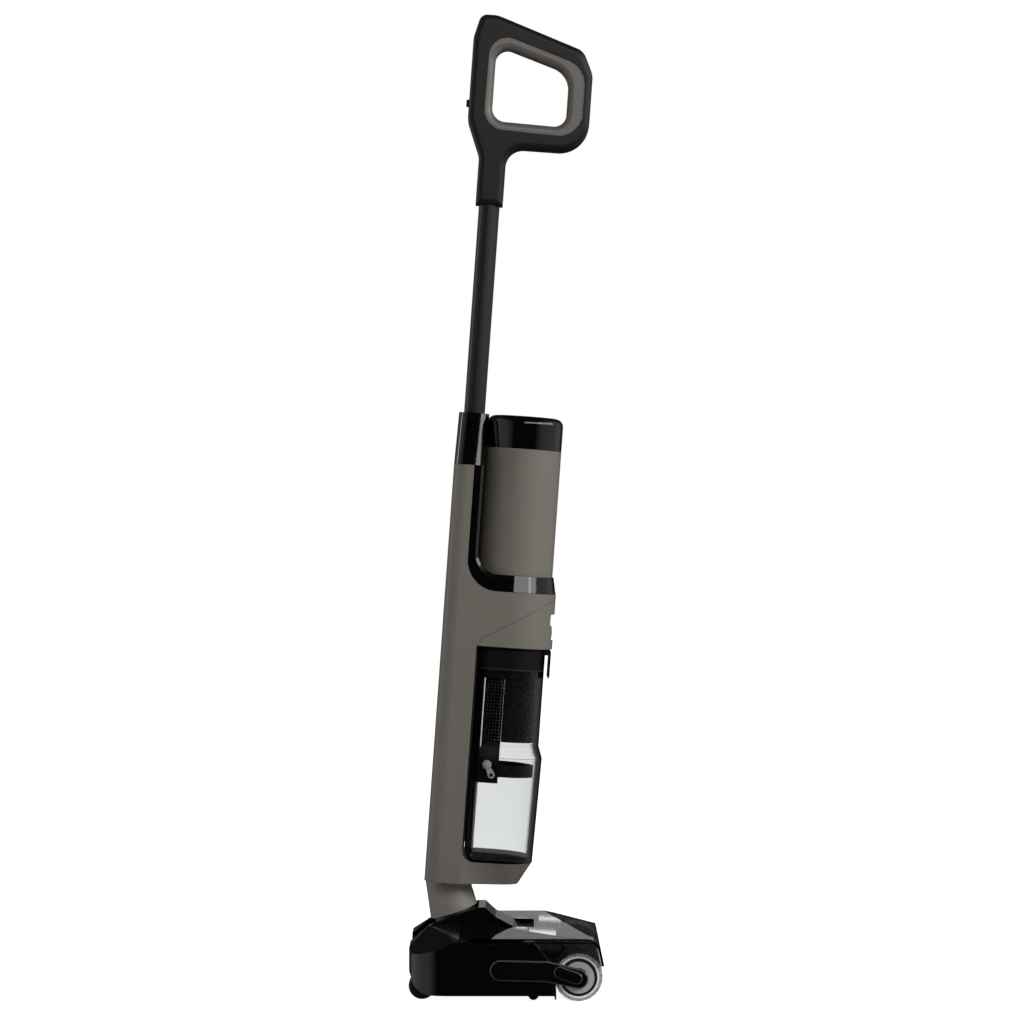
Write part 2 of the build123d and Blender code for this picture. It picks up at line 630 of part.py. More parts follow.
with BuildPart() as strainer:
    with BuildSketch(level(FOOT_BOTTOM)):
        with Locations(((COLUMN_BACK + COLUMN_FRONT) / 2, 0)):
            Rectangle(COLUMN_FRONT - COLUMN_BACK, 2 * COLUMN_HALF)
    extrude(amount=LID_FLOOR - WALL - GAP - FOOT_BOTTOM)
    with BuildSketch(level(FOOT_BOTTOM)):
        with Locations(((FOOT_BACK + COLUMN_FRONT) / 2, 0)):
            Rectangle(COLUMN_FRONT - FOOT_BACK, 2 * COLUMN_HALF)
    extrude(amount=FOOT_TOP - FOOT_BOTTOM)
    with BuildSketch(level(DISH_LOW)):
        with Locations((TANK_AXIS, 0)):
            Circle(AIR_R)
        with Locations((COLUMN_FRONT - WALL - AIR_R, 0)):
            Rectangle(2 * AIR_R, 3 * AIR_R, mode=Mode.SUBTRACT)
    extrude(amount=DISH_HIGH - DISH_LOW)
    with BuildSketch(level(DISH_LOW + WALL)):
        with Locations((TANK_AXIS, 0)):
            Circle(AIR_R - WALL)
        with Locations((COLUMN_FRONT - AIR_R, 0)):
            Rectangle(2 * AIR_R, 3 * AIR_R, mode=Mode.SUBTRACT)
    extrude(amount=DISH_HIGH - DISH_LOW, mode=Mode.SUBTRACT)
    with BuildSketch(level(FOOT_BOTTOM + WALL)):
        with Locations(((COLUMN_BACK + COLUMN_FRONT) / 2, 0)):
            Rectangle(COLUMN_FRONT - COLUMN_BACK - 2 * WALL, 2 * (COLUMN_HALF - WALL))
    extrude(amount=LID_FLOOR - FOOT_BOTTOM, mode=Mode.SUBTRACT)
    with BuildSketch(BODY_SIDE):
        with Locations((MESH_LINE, MESH_HEIGHT)):
            with GridLocations(MESH_PITCH, MESH_PITCH, MESH_COLUMNS, MESH_ROWS):
                RegularPolygon(MESH_R, 4)
    extrude(amount=COLUMN_HALF + 1, both=True, mode=Mode.SUBTRACT)
    with BuildSketch(BODY_SIDE.offset(COLUMN_HALF)):
        with Locations(FLOAT_PIVOT):
            Circle(PIN_R)
    extrude(amount=FLOAT_SIDE + FLOAT_ARM / 2 + 1 - COLUMN_HALF)
write(strainer, "strainer")

# Float: a ball on a short arm that swings on the strainer's pin
with BuildPart() as float_arm:
    with BuildSketch(BODY_SIDE.offset(FLOAT_SIDE - FLOAT_ARM / 2)):
        with Locations(FLOAT_AT):
            Circle(PIN_R)
        with Locations(FLOAT_PIVOT):
            Circle(2 * PIN_R)
        make_hull()
        with Locations(FLOAT_PIVOT):
            Circle(PIN_R + FIT, mode=Mode.SUBTRACT)
    extrude(amount=FLOAT_ARM)
    with Locations(Plane(BODY_SIDE.from_local_coords((*FLOAT_AT, FLOAT_SIDE)))):
        Sphere(FLOAT_R)
write(float_arm, "float_arm")

# Suction fan above the dirty tank: housing with side outlets, impeller and motor
FAN_R = 34.0
FAN_WALL = 2.0
FAN_HEIGHT = 24.0
FAN_BOTTOM = BAY_TOP + WALL + GAP
OUTLETS = 6
IMPELLER_R = 29.0
IMPELLER_LOW = FAN_BOTTOM + FAN_WALL + 3.0
BLADES = 9
BLADE_HEIGHT = 10.0
SHAFT_R = 3.0
FAN_MOTOR_R = 20.0
FAN_MOTOR_HEIGHT = 21.0
fan_top = FAN_BOTTOM + FAN_HEIGHT

with BuildPart() as fan_housing:
    with BuildSketch(level(FAN_BOTTOM)):
        with Locations((FAN_LINE, 0)):
            Circle(FAN_R)
    extrude(amount=FAN_HEIGHT)
    with BuildSketch(level(FAN_BOTTOM + FAN_WALL)):
        with Locations((FAN_LINE, 0)):
            Circle(FAN_R - FAN_WALL)
    extrude(amount=FAN_HEIGHT - 2 * FAN_WALL, mode=Mode.SUBTRACT)
    with BuildSketch(level(FAN_BOTTOM)):
        with Locations((FAN_LINE, 0)):
            Circle(FAN_INLET_R)
    extrude(amount=FAN_WALL, mode=Mode.SUBTRACT)
    with BuildSketch(level(fan_top)):
        with Locations((FAN_LINE, 0)):
            Circle(SHAFT_R + 1)
    extrude(amount=-FAN_WALL, mode=Mode.SUBTRACT)
    with BuildSketch(level(FAN_BOTTOM + 2 * FAN_WALL)):
        with Locations((FAN_LINE, 0)):
            with PolarLocations(FAN_R, OUTLETS):
                Rectangle(4 * FAN_WALL, FAN_R / 2)
    extrude(amount=FAN_HEIGHT - 4 * FAN_WALL, mode=Mode.SUBTRACT)
write(fan_housing, "fan_housing")

with BuildPart() as impeller:
    with BuildSketch(level(IMPELLER_LOW)):
        with Locations((FAN_LINE, 0)):
            with PolarLocations(IMPELLER_R * 0.62, BLADES):
                Rectangle(IMPELLER_R * 0.72, 1.4, rotation=38)
            Circle(IMPELLER_R, mode=Mode.INTERSECT)
    extrude(amount=BLADE_HEIGHT)
    with BuildSketch(level(IMPELLER_LOW + BLADE_HEIGHT)):
        with Locations((FAN_LINE, 0)):
            Circle(IMPELLER_R)
    extrude(amount=FAN_WALL)
    with BuildSketch(level(IMPELLER_LOW)):
        with Locations((FAN_LINE, 0)):
            Circle(2 * SHAFT_R)
    extrude(amount=BLADE_HEIGHT)
    with BuildSketch(level(IMPELLER_LOW)):
        with Locations((FAN_LINE, 0)):
            Circle(SHAFT_R)
    extrude(amount=fan_top + FAN_MOTOR_HEIGHT / 2 - IMPELLER_LOW)
write(impeller, "impeller")

with BuildPart() as fan_motor:
    with BuildSketch(level(fan_top)):
        with Locations((FAN_LINE, 0)):
            Circle(FAN_MOTOR_R)
    extrude(amount=FAN_MOTOR_HEIGHT)
    chamfer(fan_motor.edges().filter_by(GeomType.CIRCLE).group_by(upright(FAN_LINE))[-1], 2)
    with BuildSketch(level(fan_top)):
        with Locations((FAN_LINE, 0)):
            Circle(SHAFT_R + FIT)
    extrude(amount=FAN_MOTOR_HEIGHT / 2 + 1, mode=Mode.SUBTRACT)
write(fan_motor, "fan_motor")

# Battery in the spine: tray open to the front with three tiers of paired cells
CELL_R = 9.2
CELL_HEIGHT = 65.0
CELL_TIERS = 3
CELL_SPACE = 0.7
TRAY_WALL = 1.5
TRAY_BOTTOM = 151.0
TRAY_SIDE = -16.9
tray_back = BODY_BACK + WALL + GAP
tray_half = 2 * CELL_R + CELL_SPACE + TRAY_WALL
tray_front = tray_back + TRAY_WALL + 2 * (CELL_R + CELL_SPACE)
tray_top = TRAY_BOTTOM + 2 * TRAY_WALL + CELL_TIERS * (CELL_HEIGHT + CELL_SPACE) + CELL_SPACE
cell_line = tray_back + TRAY_WALL + CELL_SPACE + CELL_R

with BuildPart() as battery_tray:
    with BuildSketch(level(TRAY_BOTTOM)) as tray:
        with Locations(((tray_back + tray_front) / 2, TRAY_SIDE)):
            Rectangle(tray_front - tray_back, 2 * tray_half)
        fillet(tray.vertices().group_by(Axis.X)[0], 4)
    extrude(amount=tray_top - TRAY_BOTTOM)
    with BuildSketch(level(TRAY_BOTTOM + TRAY_WALL)) as hollow:
        with Locations(((tray_back + TRAY_WALL + tray_front) / 2, TRAY_SIDE)):
            Rectangle(tray_front - tray_back - TRAY_WALL, 2 * (tray_half - TRAY_WALL))
        fillet(hollow.vertices().group_by(Axis.X)[0], 4 - TRAY_WALL)
    extrude(amount=tray_top - TRAY_BOTTOM - 2 * TRAY_WALL, mode=Mode.SUBTRACT)
write(battery_tray, "battery_tray")

with BuildPart() as battery_cells:
    for tier in range(CELL_TIERS):
        cell_low = TRAY_BOTTOM + TRAY_WALL + CELL_SPACE + tier * (CELL_HEIGHT + CELL_SPACE)
        with BuildSketch(level(cell_low)):
            with Locations((cell_line, TRAY_SIDE)):
                with GridLocations(0, 2 * CELL_R + CELL_SPACE / 2, 1, 2):
                    Circle(CELL_R)
        extrude(amount=CELL_HEIGHT)
write(battery_cells, "battery_cells")

# Water pump on top of the battery, with the hose from the clean tank's seat
PUMP_LENGTH = 24.0
PUMP_WIDTH = 26.0
PUMP_HEIGHT = 36.0
PUMP_AT = (-29.0, -23.0)
HOSE_R = 3.0
HOSE_BORE = 2.0
HOSE_BEND = 5.0
HOSE_RUN = SEAT - WALL - 6.0
pump_low = tray_top + GAP

with BuildPart() as water_pump:
    with BuildSketch(level(pump_low)):
        with Locations(PUMP_AT):
            RectangleRounded(PUMP_LENGTH, PUMP_WIDTH, 4)
    extrude(amount=PUMP_HEIGHT * 0.6)
    with BuildSketch(level(pump_low)):
        with Locations(PUMP_AT):
            Circle(PUMP_LENGTH / 2 - 1)
    extrude(amount=PUMP_HEIGHT)
write(water_pump, "water_pump")

with BuildPart() as water_hose:
    with BuildLine(BODY_TOP) as hose_path:
        FilletPolyline(
            (TANK_AXIS, 0, SEAT - WALL - 0.1),
            (TANK_AXIS, 0, HOSE_RUN),
            (*PUMP_AT, HOSE_RUN),
            (*PUMP_AT, pump_low + PUMP_HEIGHT + 0.1),
            radius=HOSE_BEND,
        )
    with BuildSketch(level(SEAT - WALL - 0.1)):
        with Locations((TANK_AXIS, 0)):
            Circle(HOSE_R)
            Circle(HOSE_BORE, mode=Mode.SUBTRACT)
    sweep(path=hose_path.line)
write(water_hose, "water_hose")

# Control board on four posts behind the liner
BOARD_BACK = -44.0
BOARD = 1.6
BOARD_HALF = 30.0
BOARD_LOW = 432.0
BOARD_HIGH = 534.0
POST_R = 2.5

with BuildPart() as control_board:
    with BuildSketch(BODY_FRONT.offset(BOARD_BACK)):
        with Locations((0, (BOARD_LOW + BOARD_HIGH) / 2)):
            Rectangle(2 * BOARD_HALF, BOARD_HIGH - BOARD_LOW)
    extrude(amount=BOARD)
    with BuildSketch(BODY_FRONT.offset(BOARD_BACK)):
        with Locations((0, (BOARD_LOW + BOARD_HIGH) / 2)):
            with GridLocations(2 * BOARD_HALF - 10, BOARD_HIGH - BOARD_LOW - 10, 2, 2):
                Circle(POST_R)
    extrude(amount=BODY_BACK + WALL - BOARD_BACK)
    with BuildSketch(BODY_FRONT.offset(BOARD_BACK + BOARD)):
        with Locations((0, BOARD_HIGH - 5)):
            Rectangle(16, 10)
        with Locations((-12, 470)):
            Rectangle(18, 18)
        with Locations((14, 490)):
            Rectangle(12, 24)
    extrude(amount=8)
write(control_board, "control_board")

# Suction duct: from the swivel up beside the battery to the dirty tank's lid
DUCT_WALL = 1.5
DUCT_LINE = -31.0
SPIGOT_R = 18.0
SPIGOT_WALL = 3.5
BUSH_TOP = 97.0
RING_HEIGHT = 3.0
ring_top = BUSH_TOP + GAP + RING_HEIGHT
duct_low = ring_top + GAP

with BuildPart() as suction_duct:
    with BuildLine(BODY_TOP) as duct_path:
        FilletPolyline(
            (SWIVEL, 0, duct_low),
            (SWIVEL, 0, duct_low + 14),
            (DUCT_LINE, DUCT_SIDE, duct_low + 48),
            (DUCT_LINE, DUCT_SIDE, INLET_HEIGHT),
            (BAY_BACK, DUCT_SIDE, INLET_HEIGHT),
            radius=13,
        )
    with BuildSketch(level(duct_low)):
        with Locations((SWIVEL, 0)):
            Circle(DUCT_R)
            Circle(DUCT_R - DUCT_WALL, mode=Mode.SUBTRACT)
    sweep(path=duct_path.line)
write(suction_duct, "suction_duct")

# Swivel: bush in the body's floor, turning on the neck's spigot under a keeper ring
BUSH_FLANGE = 2.5

with BuildPart() as swivel_bush:
    with BuildSketch(level(BODY_BOTTOM)):
        with Locations((SWIVEL, 0)):
            Circle(BUSH_R)
    extrude(amount=BUSH_TOP - BODY_BOTTOM)
    with BuildSketch(level(BODY_BOTTOM + WALL)):
        with Locations((SWIVEL, 0)):
            Circle(BUSH_R + BUSH_FLANGE)
    extrude(amount=BUSH_FLANGE)
    with BuildSketch(level(BODY_BOTTOM)):
        with Locations((SWIVEL, 0)):
            Circle(SPIGOT_R + FIT)
    extrude(amount=BUSH_TOP - BODY_BOTTOM, mode=Mode.SUBTRACT)
write(swivel_bush, "swivel_bush")

# Neck: grey sleeve between body and head, on a black yoke that turns on the pivot pins
NECK_RIM = 44.0
NECK_RIM_R = 28.0
NECK_TOP_R = 26.0
YOKE_R = 24.0
YOKE_BORE = 18.0
YOKE_LOW = 8.0
YOKE_HIGH = 56.0
DRUM_R = 22.0
DRUM_HALF = 30.0
DRUM_WALL = 3.5
PIVOT_PIN_R = 7.0
PIVOT_PIN_OUT = 42.0

with BuildPart() as neck:
    with BuildSketch(NECK_LINE.offset(NECK_RIM)):
        Circle(NECK_RIM_R)
    with BuildSketch(level(BODY_BOTTOM - GAP)):
        with Locations((SWIVEL, 0)):
            Circle(NECK_TOP_R)
    loft()
    with BuildSketch(level(BODY_BOTTOM - GAP)):
        with Locations((SWIVEL, 0)):
            Circle(SPIGOT_R)
    extrude(amount=ring_top - BODY_BOTTOM + GAP)
    with BuildSketch(NECK_LINE.offset(NECK_RIM)):
        Circle(YOKE_R)
    extrude(amount=YOKE_HIGH - NECK_RIM, mode=Mode.SUBTRACT)
    with BuildSketch(level(ring_top)):
        with Locations((SWIVEL, 0)):
            Circle(SPIGOT_R - SPIGOT_WALL)
    extrude(amount=-ring_top + YOKE_HIGH - 8, mode=Mode.SUBTRACT)
write(neck, "neck")

with BuildPart() as swivel_ring:
    with BuildSketch(level(BUSH_TOP + GAP)):
        with Locations((SWIVEL, 0)):
            Circle(BUSH_R + 2)
            Circle(SPIGOT_R, mode=Mode.SUBTRACT)
    extrude(amount=RING_HEIGHT)
write(swivel_ring, "swivel_ring")

with BuildPart() as neck_yoke:
    with BuildSketch(Plane.XZ):
        with Locations((PIVOT_X, PIVOT_Z)):
            Circle(DRUM_R)
    extrude(amount=DRUM_HALF, both=True)
    with BuildSketch(NECK_LINE.offset(YOKE_LOW)):
        Circle(YOKE_R)
    extrude(amount=YOKE_HIGH - YOKE_LOW)
    with BuildSketch(NECK_LINE):
        Circle(YOKE_BORE)
    extrude(amount=YOKE_HIGH, mode=Mode.SUBTRACT)
    with BuildSketch(Plane.XZ):
        with Locations((PIVOT_X, PIVOT_Z)):
            Circle(DRUM_R - DRUM_WALL)
    extrude(amount=DRUM_HALF - DRUM_WALL, both=True, mode=Mode.SUBTRACT)
    with BuildSketch(Plane.XZ):
        with Locations((PIVOT_X, PIVOT_Z)):
            Circle(PIVOT_PIN_R)
    extrude(amount=DRUM_HALF, both=True, mode=Mode.SUBTRACT)
    with BuildSketch(Plane.XZ):
        with Locations((PIVOT_X + DRUM_R, PIVOT_Z - DRUM_R / 2)):
            Rectangle(2 * DRUM_R - 12, DRUM_R)
    extrude(amount=YOKE_BORE, both=True, mode=Mode.SUBTRACT)
write(neck_yoke, "neck_yoke")

with BuildPart() as pivot_pins:
    with BuildSketch(Plane.XZ.offset(DRUM_HALF - DRUM_WALL)):
        with Locations((PIVOT_X, PIVOT_Z)):
            Circle(PIVOT_PIN_R)
    extrude(amount=PIVOT_PIN_OUT - DRUM_HALF + DRUM_WALL)
    mirror(about=Plane.XZ)
write(pivot_pins, "pivot_pins")

# Handle: closed loop in two halves, hollow above the sleeve that grips the wand
HANDLE_HALF = 17.0
HANDLE_WALL = 3.0
HANDLE_ROUND = 7.0
SLEEVE_BACK = -50.2
SLEEVE_FRONT = -19.0
SLEEVE_BOTTOM = 851.0
SLEEVE_TOP = 903.0
WAND_TOP = SLEEVE_TOP - 4.0
GRIP_BACK = -66.0
LOOP_FRONT = 73.5
LOOP_BOTTOM = 918.0
LOOP_TOP = 1069.0
RING_HALF = 15.5
RING_ROUND = 7.0
HANDLE_SCREWS = [(-57.0, 1030.0), (10.0, 1043.5), (20.0, 926.5)]
HANDLE_SCREW_SEAT = 10.0
HANDLE_SCREW_TIP = 8.0
HANDLE_OUTLINE = [
    ((SLEEVE_BACK, SLEEVE_BOTTOM), 0),
    ((SLEEVE_FRONT, SLEEVE_BOTTOM), 0),
    ((SLEEVE_FRONT, LOOP_BOTTOM), 20),
    ((LOOP_FRONT, LOOP_BOTTOM), 34),
    ((LOOP_FRONT, 1008), 24),
    ((61, 1035), 18),
    ((-40, LOOP_TOP), 30),
    ((-59, LOOP_TOP), 10),
    ((GRIP_BACK, 1042), 24),
    ((GRIP_BACK, 946), 26),
    ((SLEEVE_BACK, 906), 26),
]
RING_OUTLINE = [((-48, 938), 24), ((65.5, 934), 28), ((65.5, 1016), 30), ((-47, 1052), 22)]
HOLE_OUTLINE = [((-39, 948), 16), ((46.5, 946), 14), ((46.5, 1009), 26), ((-39, 1036), 14)]


def rounded(sketch, outline):
    """Polygon with each corner rounded by its own radius."""
    Polygon(*[corner for corner, _ in outline], align=None)
    for corner, radius in outline:
        if radius:
            round_corner(sketch, corner, radius)


with BuildPart() as handle_cavity:
    with BuildSketch(BODY_SIDE) as loop:
        rounded(loop, HANDLE_OUTLINE)
        offset(amount=-HANDLE_WALL, kind=Kind.INTERSECTION)
    extrude(amount=HANDLE_HALF - HANDLE_WALL, both=True)
    with BuildSketch(BODY_SIDE) as lining:
        rounded(lining, RING_OUTLINE)
        offset(amount=HANDLE_WALL)
    extrude(amount=HANDLE_HALF, both=True, mode=Mode.SUBTRACT)
    with BuildSketch(BODY_SIDE):
        with Locations((WAND_LINE, SLEEVE_BOTTOM)):
            Rectangle(2 * HANDLE_HALF, 2 * (SLEEVE_TOP - SLEEVE_BOTTOM))
    extrude(amount=HANDLE_HALF, both=True, mode=Mode.SUBTRACT)
    with BuildSketch(BODY_SIDE):
        with Locations(*HANDLE_SCREWS):
            Circle(BOSS_R)
    extrude(amount=HANDLE_HALF, both=True, mode=Mode.SUBTRACT)

POWER_HEIGHT = 967.0
POWER_HALF = 5.5
POWER_RISE = 4.0
POWER_OUT = 3.0
POWER_FLANGE = 1.5

with BuildPart() as handle_shell:
    with BuildSketch(BODY_SIDE) as loop:
        rounded(loop, HANDLE_OUTLINE)
    extrude(amount=HANDLE_HALF, both=True)
    for face in handle_shell.faces().filter_by(Axis.Y):
        fillet(face.outer_wire().edges(), HANDLE_ROUND)
    with BuildSketch(BODY_SIDE) as lining:
        rounded(lining, RING_OUTLINE)
    extrude(amount=HANDLE_HALF, both=True, mode=Mode.SUBTRACT)
    add(handle_cavity.part, mode=Mode.SUBTRACT)
    with BuildSketch(level(SLEEVE_BOTTOM)):
        with Locations((WAND_LINE, 0)):
            Circle(WAND_R)
    extrude(amount=WAND_TOP - SLEEVE_BOTTOM, mode=Mode.SUBTRACT)
    with BuildSketch(level(WAND_TOP)):
        with Locations((WAND_LINE, 0)):
            Circle(WIRE_HOLE_R)
    extrude(amount=2 * (SLEEVE_TOP - WAND_TOP), mode=Mode.SUBTRACT)
    with BuildSketch(BODY_SIDE.offset(-HANDLE_SCREW_SEAT)):
        with Locations(*HANDLE_SCREWS):
            Circle(SCREW_R)
    extrude(amount=HANDLE_SCREW_SEAT + HANDLE_SCREW_TIP, mode=Mode.SUBTRACT)
    with BuildSketch(BODY_SIDE.offset(-HANDLE_SCREW_SEAT)):
        with Locations(*HANDLE_SCREWS):
            Circle(SCREW_HEAD_R + GAP)
    extrude(amount=-HANDLE_HALF, mode=Mode.SUBTRACT)
    with BuildSketch(BODY_FRONT.offset(GRIP_BACK - 1)):
        with Locations((0, POWER_HEIGHT)):
            RectangleRounded(2 * (POWER_HALF + GAP), 2 * (POWER_RISE + GAP), 3)
    extrude(amount=HANDLE_WALL + 2, mode=Mode.SUBTRACT)

with BuildPart() as handle_shell_right:
    add(handle_shell.part)
    split(bisect_by=Plane.XZ, keep=Keep.TOP)
write(handle_shell_right, "handle_shell_right")

with BuildPart() as handle_shell_left:
    add(handle_shell.part)
    split(bisect_by=Plane.XZ, keep=Keep.BOTTOM)
write(handle_shell_left, "handle_shell_left")

with BuildPart() as handle_screws:
    with BuildSketch(BODY_SIDE.offset(-HANDLE_SCREW_SEAT)):
        with Locations(*HANDLE_SCREWS):
            Circle(SCREW_R)
    extrude(amount=HANDLE_SCREW_SEAT + HANDLE_SCREW_TIP)
    with BuildSketch(BODY_SIDE.offset(-HANDLE_SCREW_SEAT)):
        with Locations(*HANDLE_SCREWS):
            Circle(SCREW_HEAD_R)
    extrude(amount=-SCREW_HEAD)
write(handle_screws, "handle_screws")

with BuildPart() as handle_ring:
    with BuildSketch(BODY_SIDE) as lining:
        rounded(lining, RING_OUTLINE)
        offset(amount=-SEAM)
    extrude(amount=RING_HALF, both=True)
    with BuildSketch(BODY_SIDE) as hole:
        rounded(hole, HOLE_OUTLINE)
    extrude(amount=RING_HALF, both=True, mode=Mode.SUBTRACT)
    for face in handle_ring.faces().filter_by(Axis.Y):
        fillet(face.inner_wires()[0].edges(), RING_ROUND)
write(handle_ring, "handle_ring")

# Power button in the rear of the handle, with the switch board behind it
SWITCH_BACK = -58.5
SWITCH_LOW = 950.0
SWITCH_HIGH = 985.0
SWITCH_HALF = 10.0
PLUG_FRONT = -53.0

with BuildPart() as power_button:
    with BuildSketch(BODY_FRONT.offset(GRIP_BACK - POWER_OUT)):
        with Locations((0, POWER_HEIGHT)):
            RectangleRounded(2 * POWER_HALF, 2 * POWER_RISE, 2.7)
    extrude(amount=POWER_OUT + HANDLE_WALL + GAP)
    with BuildSketch(BODY_FRONT.offset(GRIP_BACK + HANDLE_WALL + GAP)):
        with Locations((0, POWER_HEIGHT)):
            Rectangle(2 * POWER_HALF + 5, 2 * POWER_RISE + 5)
    extrude(amount=POWER_FLANGE)
write(power_button, "power_button")

with BuildPart() as switch_board:
    with BuildSketch(BODY_FRONT.offset(SWITCH_BACK)):
        with Locations((0, (SWITCH_LOW + SWITCH_HIGH) / 2)):
            Rectangle(2 * SWITCH_HALF, SWITCH_HIGH - SWITCH_LOW)
    extrude(amount=BOARD)
    with BuildSketch(BODY_FRONT.offset(SWITCH_BACK + BOARD)):
        with Locations((0, SWITCH_LOW + 4)):
            Rectangle(10, 8)
    extrude(amount=PLUG_FRONT - SWITCH_BACK - BOARD)
    with BuildSketch(BODY_FRONT.offset(SWITCH_BACK + BOARD)):
        with Locations((0, SWITCH_HIGH - 5)):
            Rectangle(14, 8)
    extrude(amount=RING_OUTLINE[0][0][0] - HANDLE_WALL - GAP - SWITCH_BACK - BOARD)
write(switch_board, "switch_board")

# Wand tube and the wiring inside it
WIRE_R = 2.0
PLUG_LINE = -55.0

with BuildPart() as wand_tube:
    with BuildSketch(level(WAND_BOTTOM)):
        with Locations((WAND_LINE, 0)):
            Circle(WAND_R)
            Circle(WAND_R - WAND_WALL, mode=Mode.SUBTRACT)
    extrude(amount=WAND_TOP - WAND_BOTTOM)
write(wand_tube, "wand_tube")

with BuildPart() as wand_wiring:
    with BuildLine(BODY_TOP) as wire_path:
        FilletPolyline(
            (WAND_LINE, 0, BOARD_HIGH + 0.1),
            (WAND_LINE, 0, SLEEVE_TOP + 2),
            (PLUG_LINE, 0, SWITCH_LOW - 12),
            (PLUG_LINE, 0, SWITCH_LOW - 0.1),
            radius=8,
        )
    with BuildSketch(level(BOARD_HIGH + 0.1)):
        with Locations((WAND_LINE, 0)):
            Circle(WIRE_R)
    sweep(path=wire_path.line)
write(wand_wiring, "wand_wiring")

# Head housing: lower shell with wheel wells and pivot pillars, upper shell with deck and cowl
HEAD_REAR = -109.0
HEAD_HALF = 128.0
HEAD_CORNER = 44.0
HEAD_WALL = 3.0
GROUND_GAP = 8.0
PARTING = 40.0
BASE_FRONT = 54.0
REAR_TOE = 25.0
SLOT_HALF = 31.0
SLOT_FRONT = -20.0
SLOT_SILL = 14.0
PILLAR_IN = 34.0
PILLAR_LENGTH = 28.0
PILLAR_TOP = 55.5
POST_WIDE = 4.5
REAR_SCREWS = (-70.0, HEAD_HALF - 58.0)
FRONT_SCREWS = (-25.0, HEAD_HALF - 43.0)
HEAD_SCREWS = [(x, side * y) for x, y in (REAR_SCREWS, FRONT_SCREWS) for side in (1, -1)]
HEAD_SCREW_TIP = 52.0
ROLL_R = 27.5
ROLL_X = 80.5
ROLL_ROOM_R = ROLL_R + 3.5
ROLL_AT = (ROLL_X, ROLL_R)
WHEEL_R = 15.0
WHEEL_X = -94.0
WHEEL_IN = HEAD_HALF - HEAD_CORNER
WHEEL_WIDTH = 14.0
WHEEL_BOX = 38.0
AXLE_R = 3.0
ROLLER_R = 6.0
ROLLER_X = 30.5
ROLLER_IN = HEAD_HALF - 40.0
ROLLER_WIDTH = 16.0
STUB_R = 2.0
EAR = 3.0
DRIVE_DEPTH = 18.0
DRIVE_IN = HEAD_HALF - DRIVE_DEPTH
HUB_CASE_R = 19.0
MOTOR_CASE_R = 16.0
MOTOR_AT = (5.0, 28.0)
CASE_WALL = 2.5
HUB_SHAFT_R = 6.0
PORT_HALF = 20.0
PORT_LOW = 13.5
PORT_HIGH = 30.0


def head_plan(sketch, inset, front):
    """Rectangle of the head with rounded rear corners."""
    rear = HEAD_REAR + inset
    with Locations(((rear + front) / 2, 0)):
        Rectangle(front - rear, 2 * (HEAD_HALF - inset))
    fillet(sketch.vertices().group_by(Axis.X)[0], HEAD_CORNER - inset)


def base_form(inset):
    """Lower half of the head as a solid, or drawn inwards by a wall with an open top."""
    with BuildPart() as form:
        with BuildSketch(Plane.XZ) as side:
            Polygon(
                (HEAD_REAR + inset, GROUND_GAP + inset),
                (BASE_FRONT - inset, GROUND_GAP + inset),
                (BASE_FRONT - inset, PARTING),
                (HEAD_REAR + inset, PARTING),
                align=None,
            )
            round_corner(side, (HEAD_REAR, GROUND_GAP), REAR_TOE - inset)
        extrude(amount=HEAD_HALF, both=True)
        with BuildSketch(Plane.XY) as plan:
            head_plan(plan, inset, BASE_FRONT)
        extrude(amount=PARTING, mode=Mode.INTERSECT)
    return form.part


with BuildPart() as base_cavity:
    add(base_form(HEAD_WALL))
    with BuildSketch(Plane.XZ):
        with Locations(ROLL_AT):
            Circle(ROLL_ROOM_R + HEAD_WALL)
    extrude(amount=HEAD_HALF, both=True, mode=Mode.SUBTRACT)
    with BuildSketch(Plane.XY):
        with Locations((HEAD_REAR, WHEEL_IN + WHEEL_WIDTH / 2), (HEAD_REAR, -WHEEL_IN - WHEEL_WIDTH / 2)):
            Rectangle(2 * WHEEL_BOX, WHEEL_WIDTH + 10)
    extrude(amount=WHEEL_R + WHEEL_R + 6, mode=Mode.SUBTRACT)
    with BuildSketch(Plane.XY):
        with Locations((ROLLER_X, ROLLER_IN + ROLLER_WIDTH / 2), (ROLLER_X, -ROLLER_IN - ROLLER_WIDTH / 2)):
            Rectangle(2 * ROLLER_R + 8, ROLLER_WIDTH + 9)
    extrude(amount=2 * ROLLER_R + 4.5, mode=Mode.SUBTRACT)
    with BuildSketch(Plane.XY):
        with Locations(*HEAD_SCREWS):
            Circle(POST_WIDE)
        with Locations((HEAD_REAR, SLOT_HALF + HEAD_WALL / 2), (HEAD_REAR, -SLOT_HALF - HEAD_WALL / 2)):
            Rectangle(2 * (SLOT_FRONT - HEAD_REAR), HEAD_WALL)
    extrude(amount=PARTING, mode=Mode.SUBTRACT)

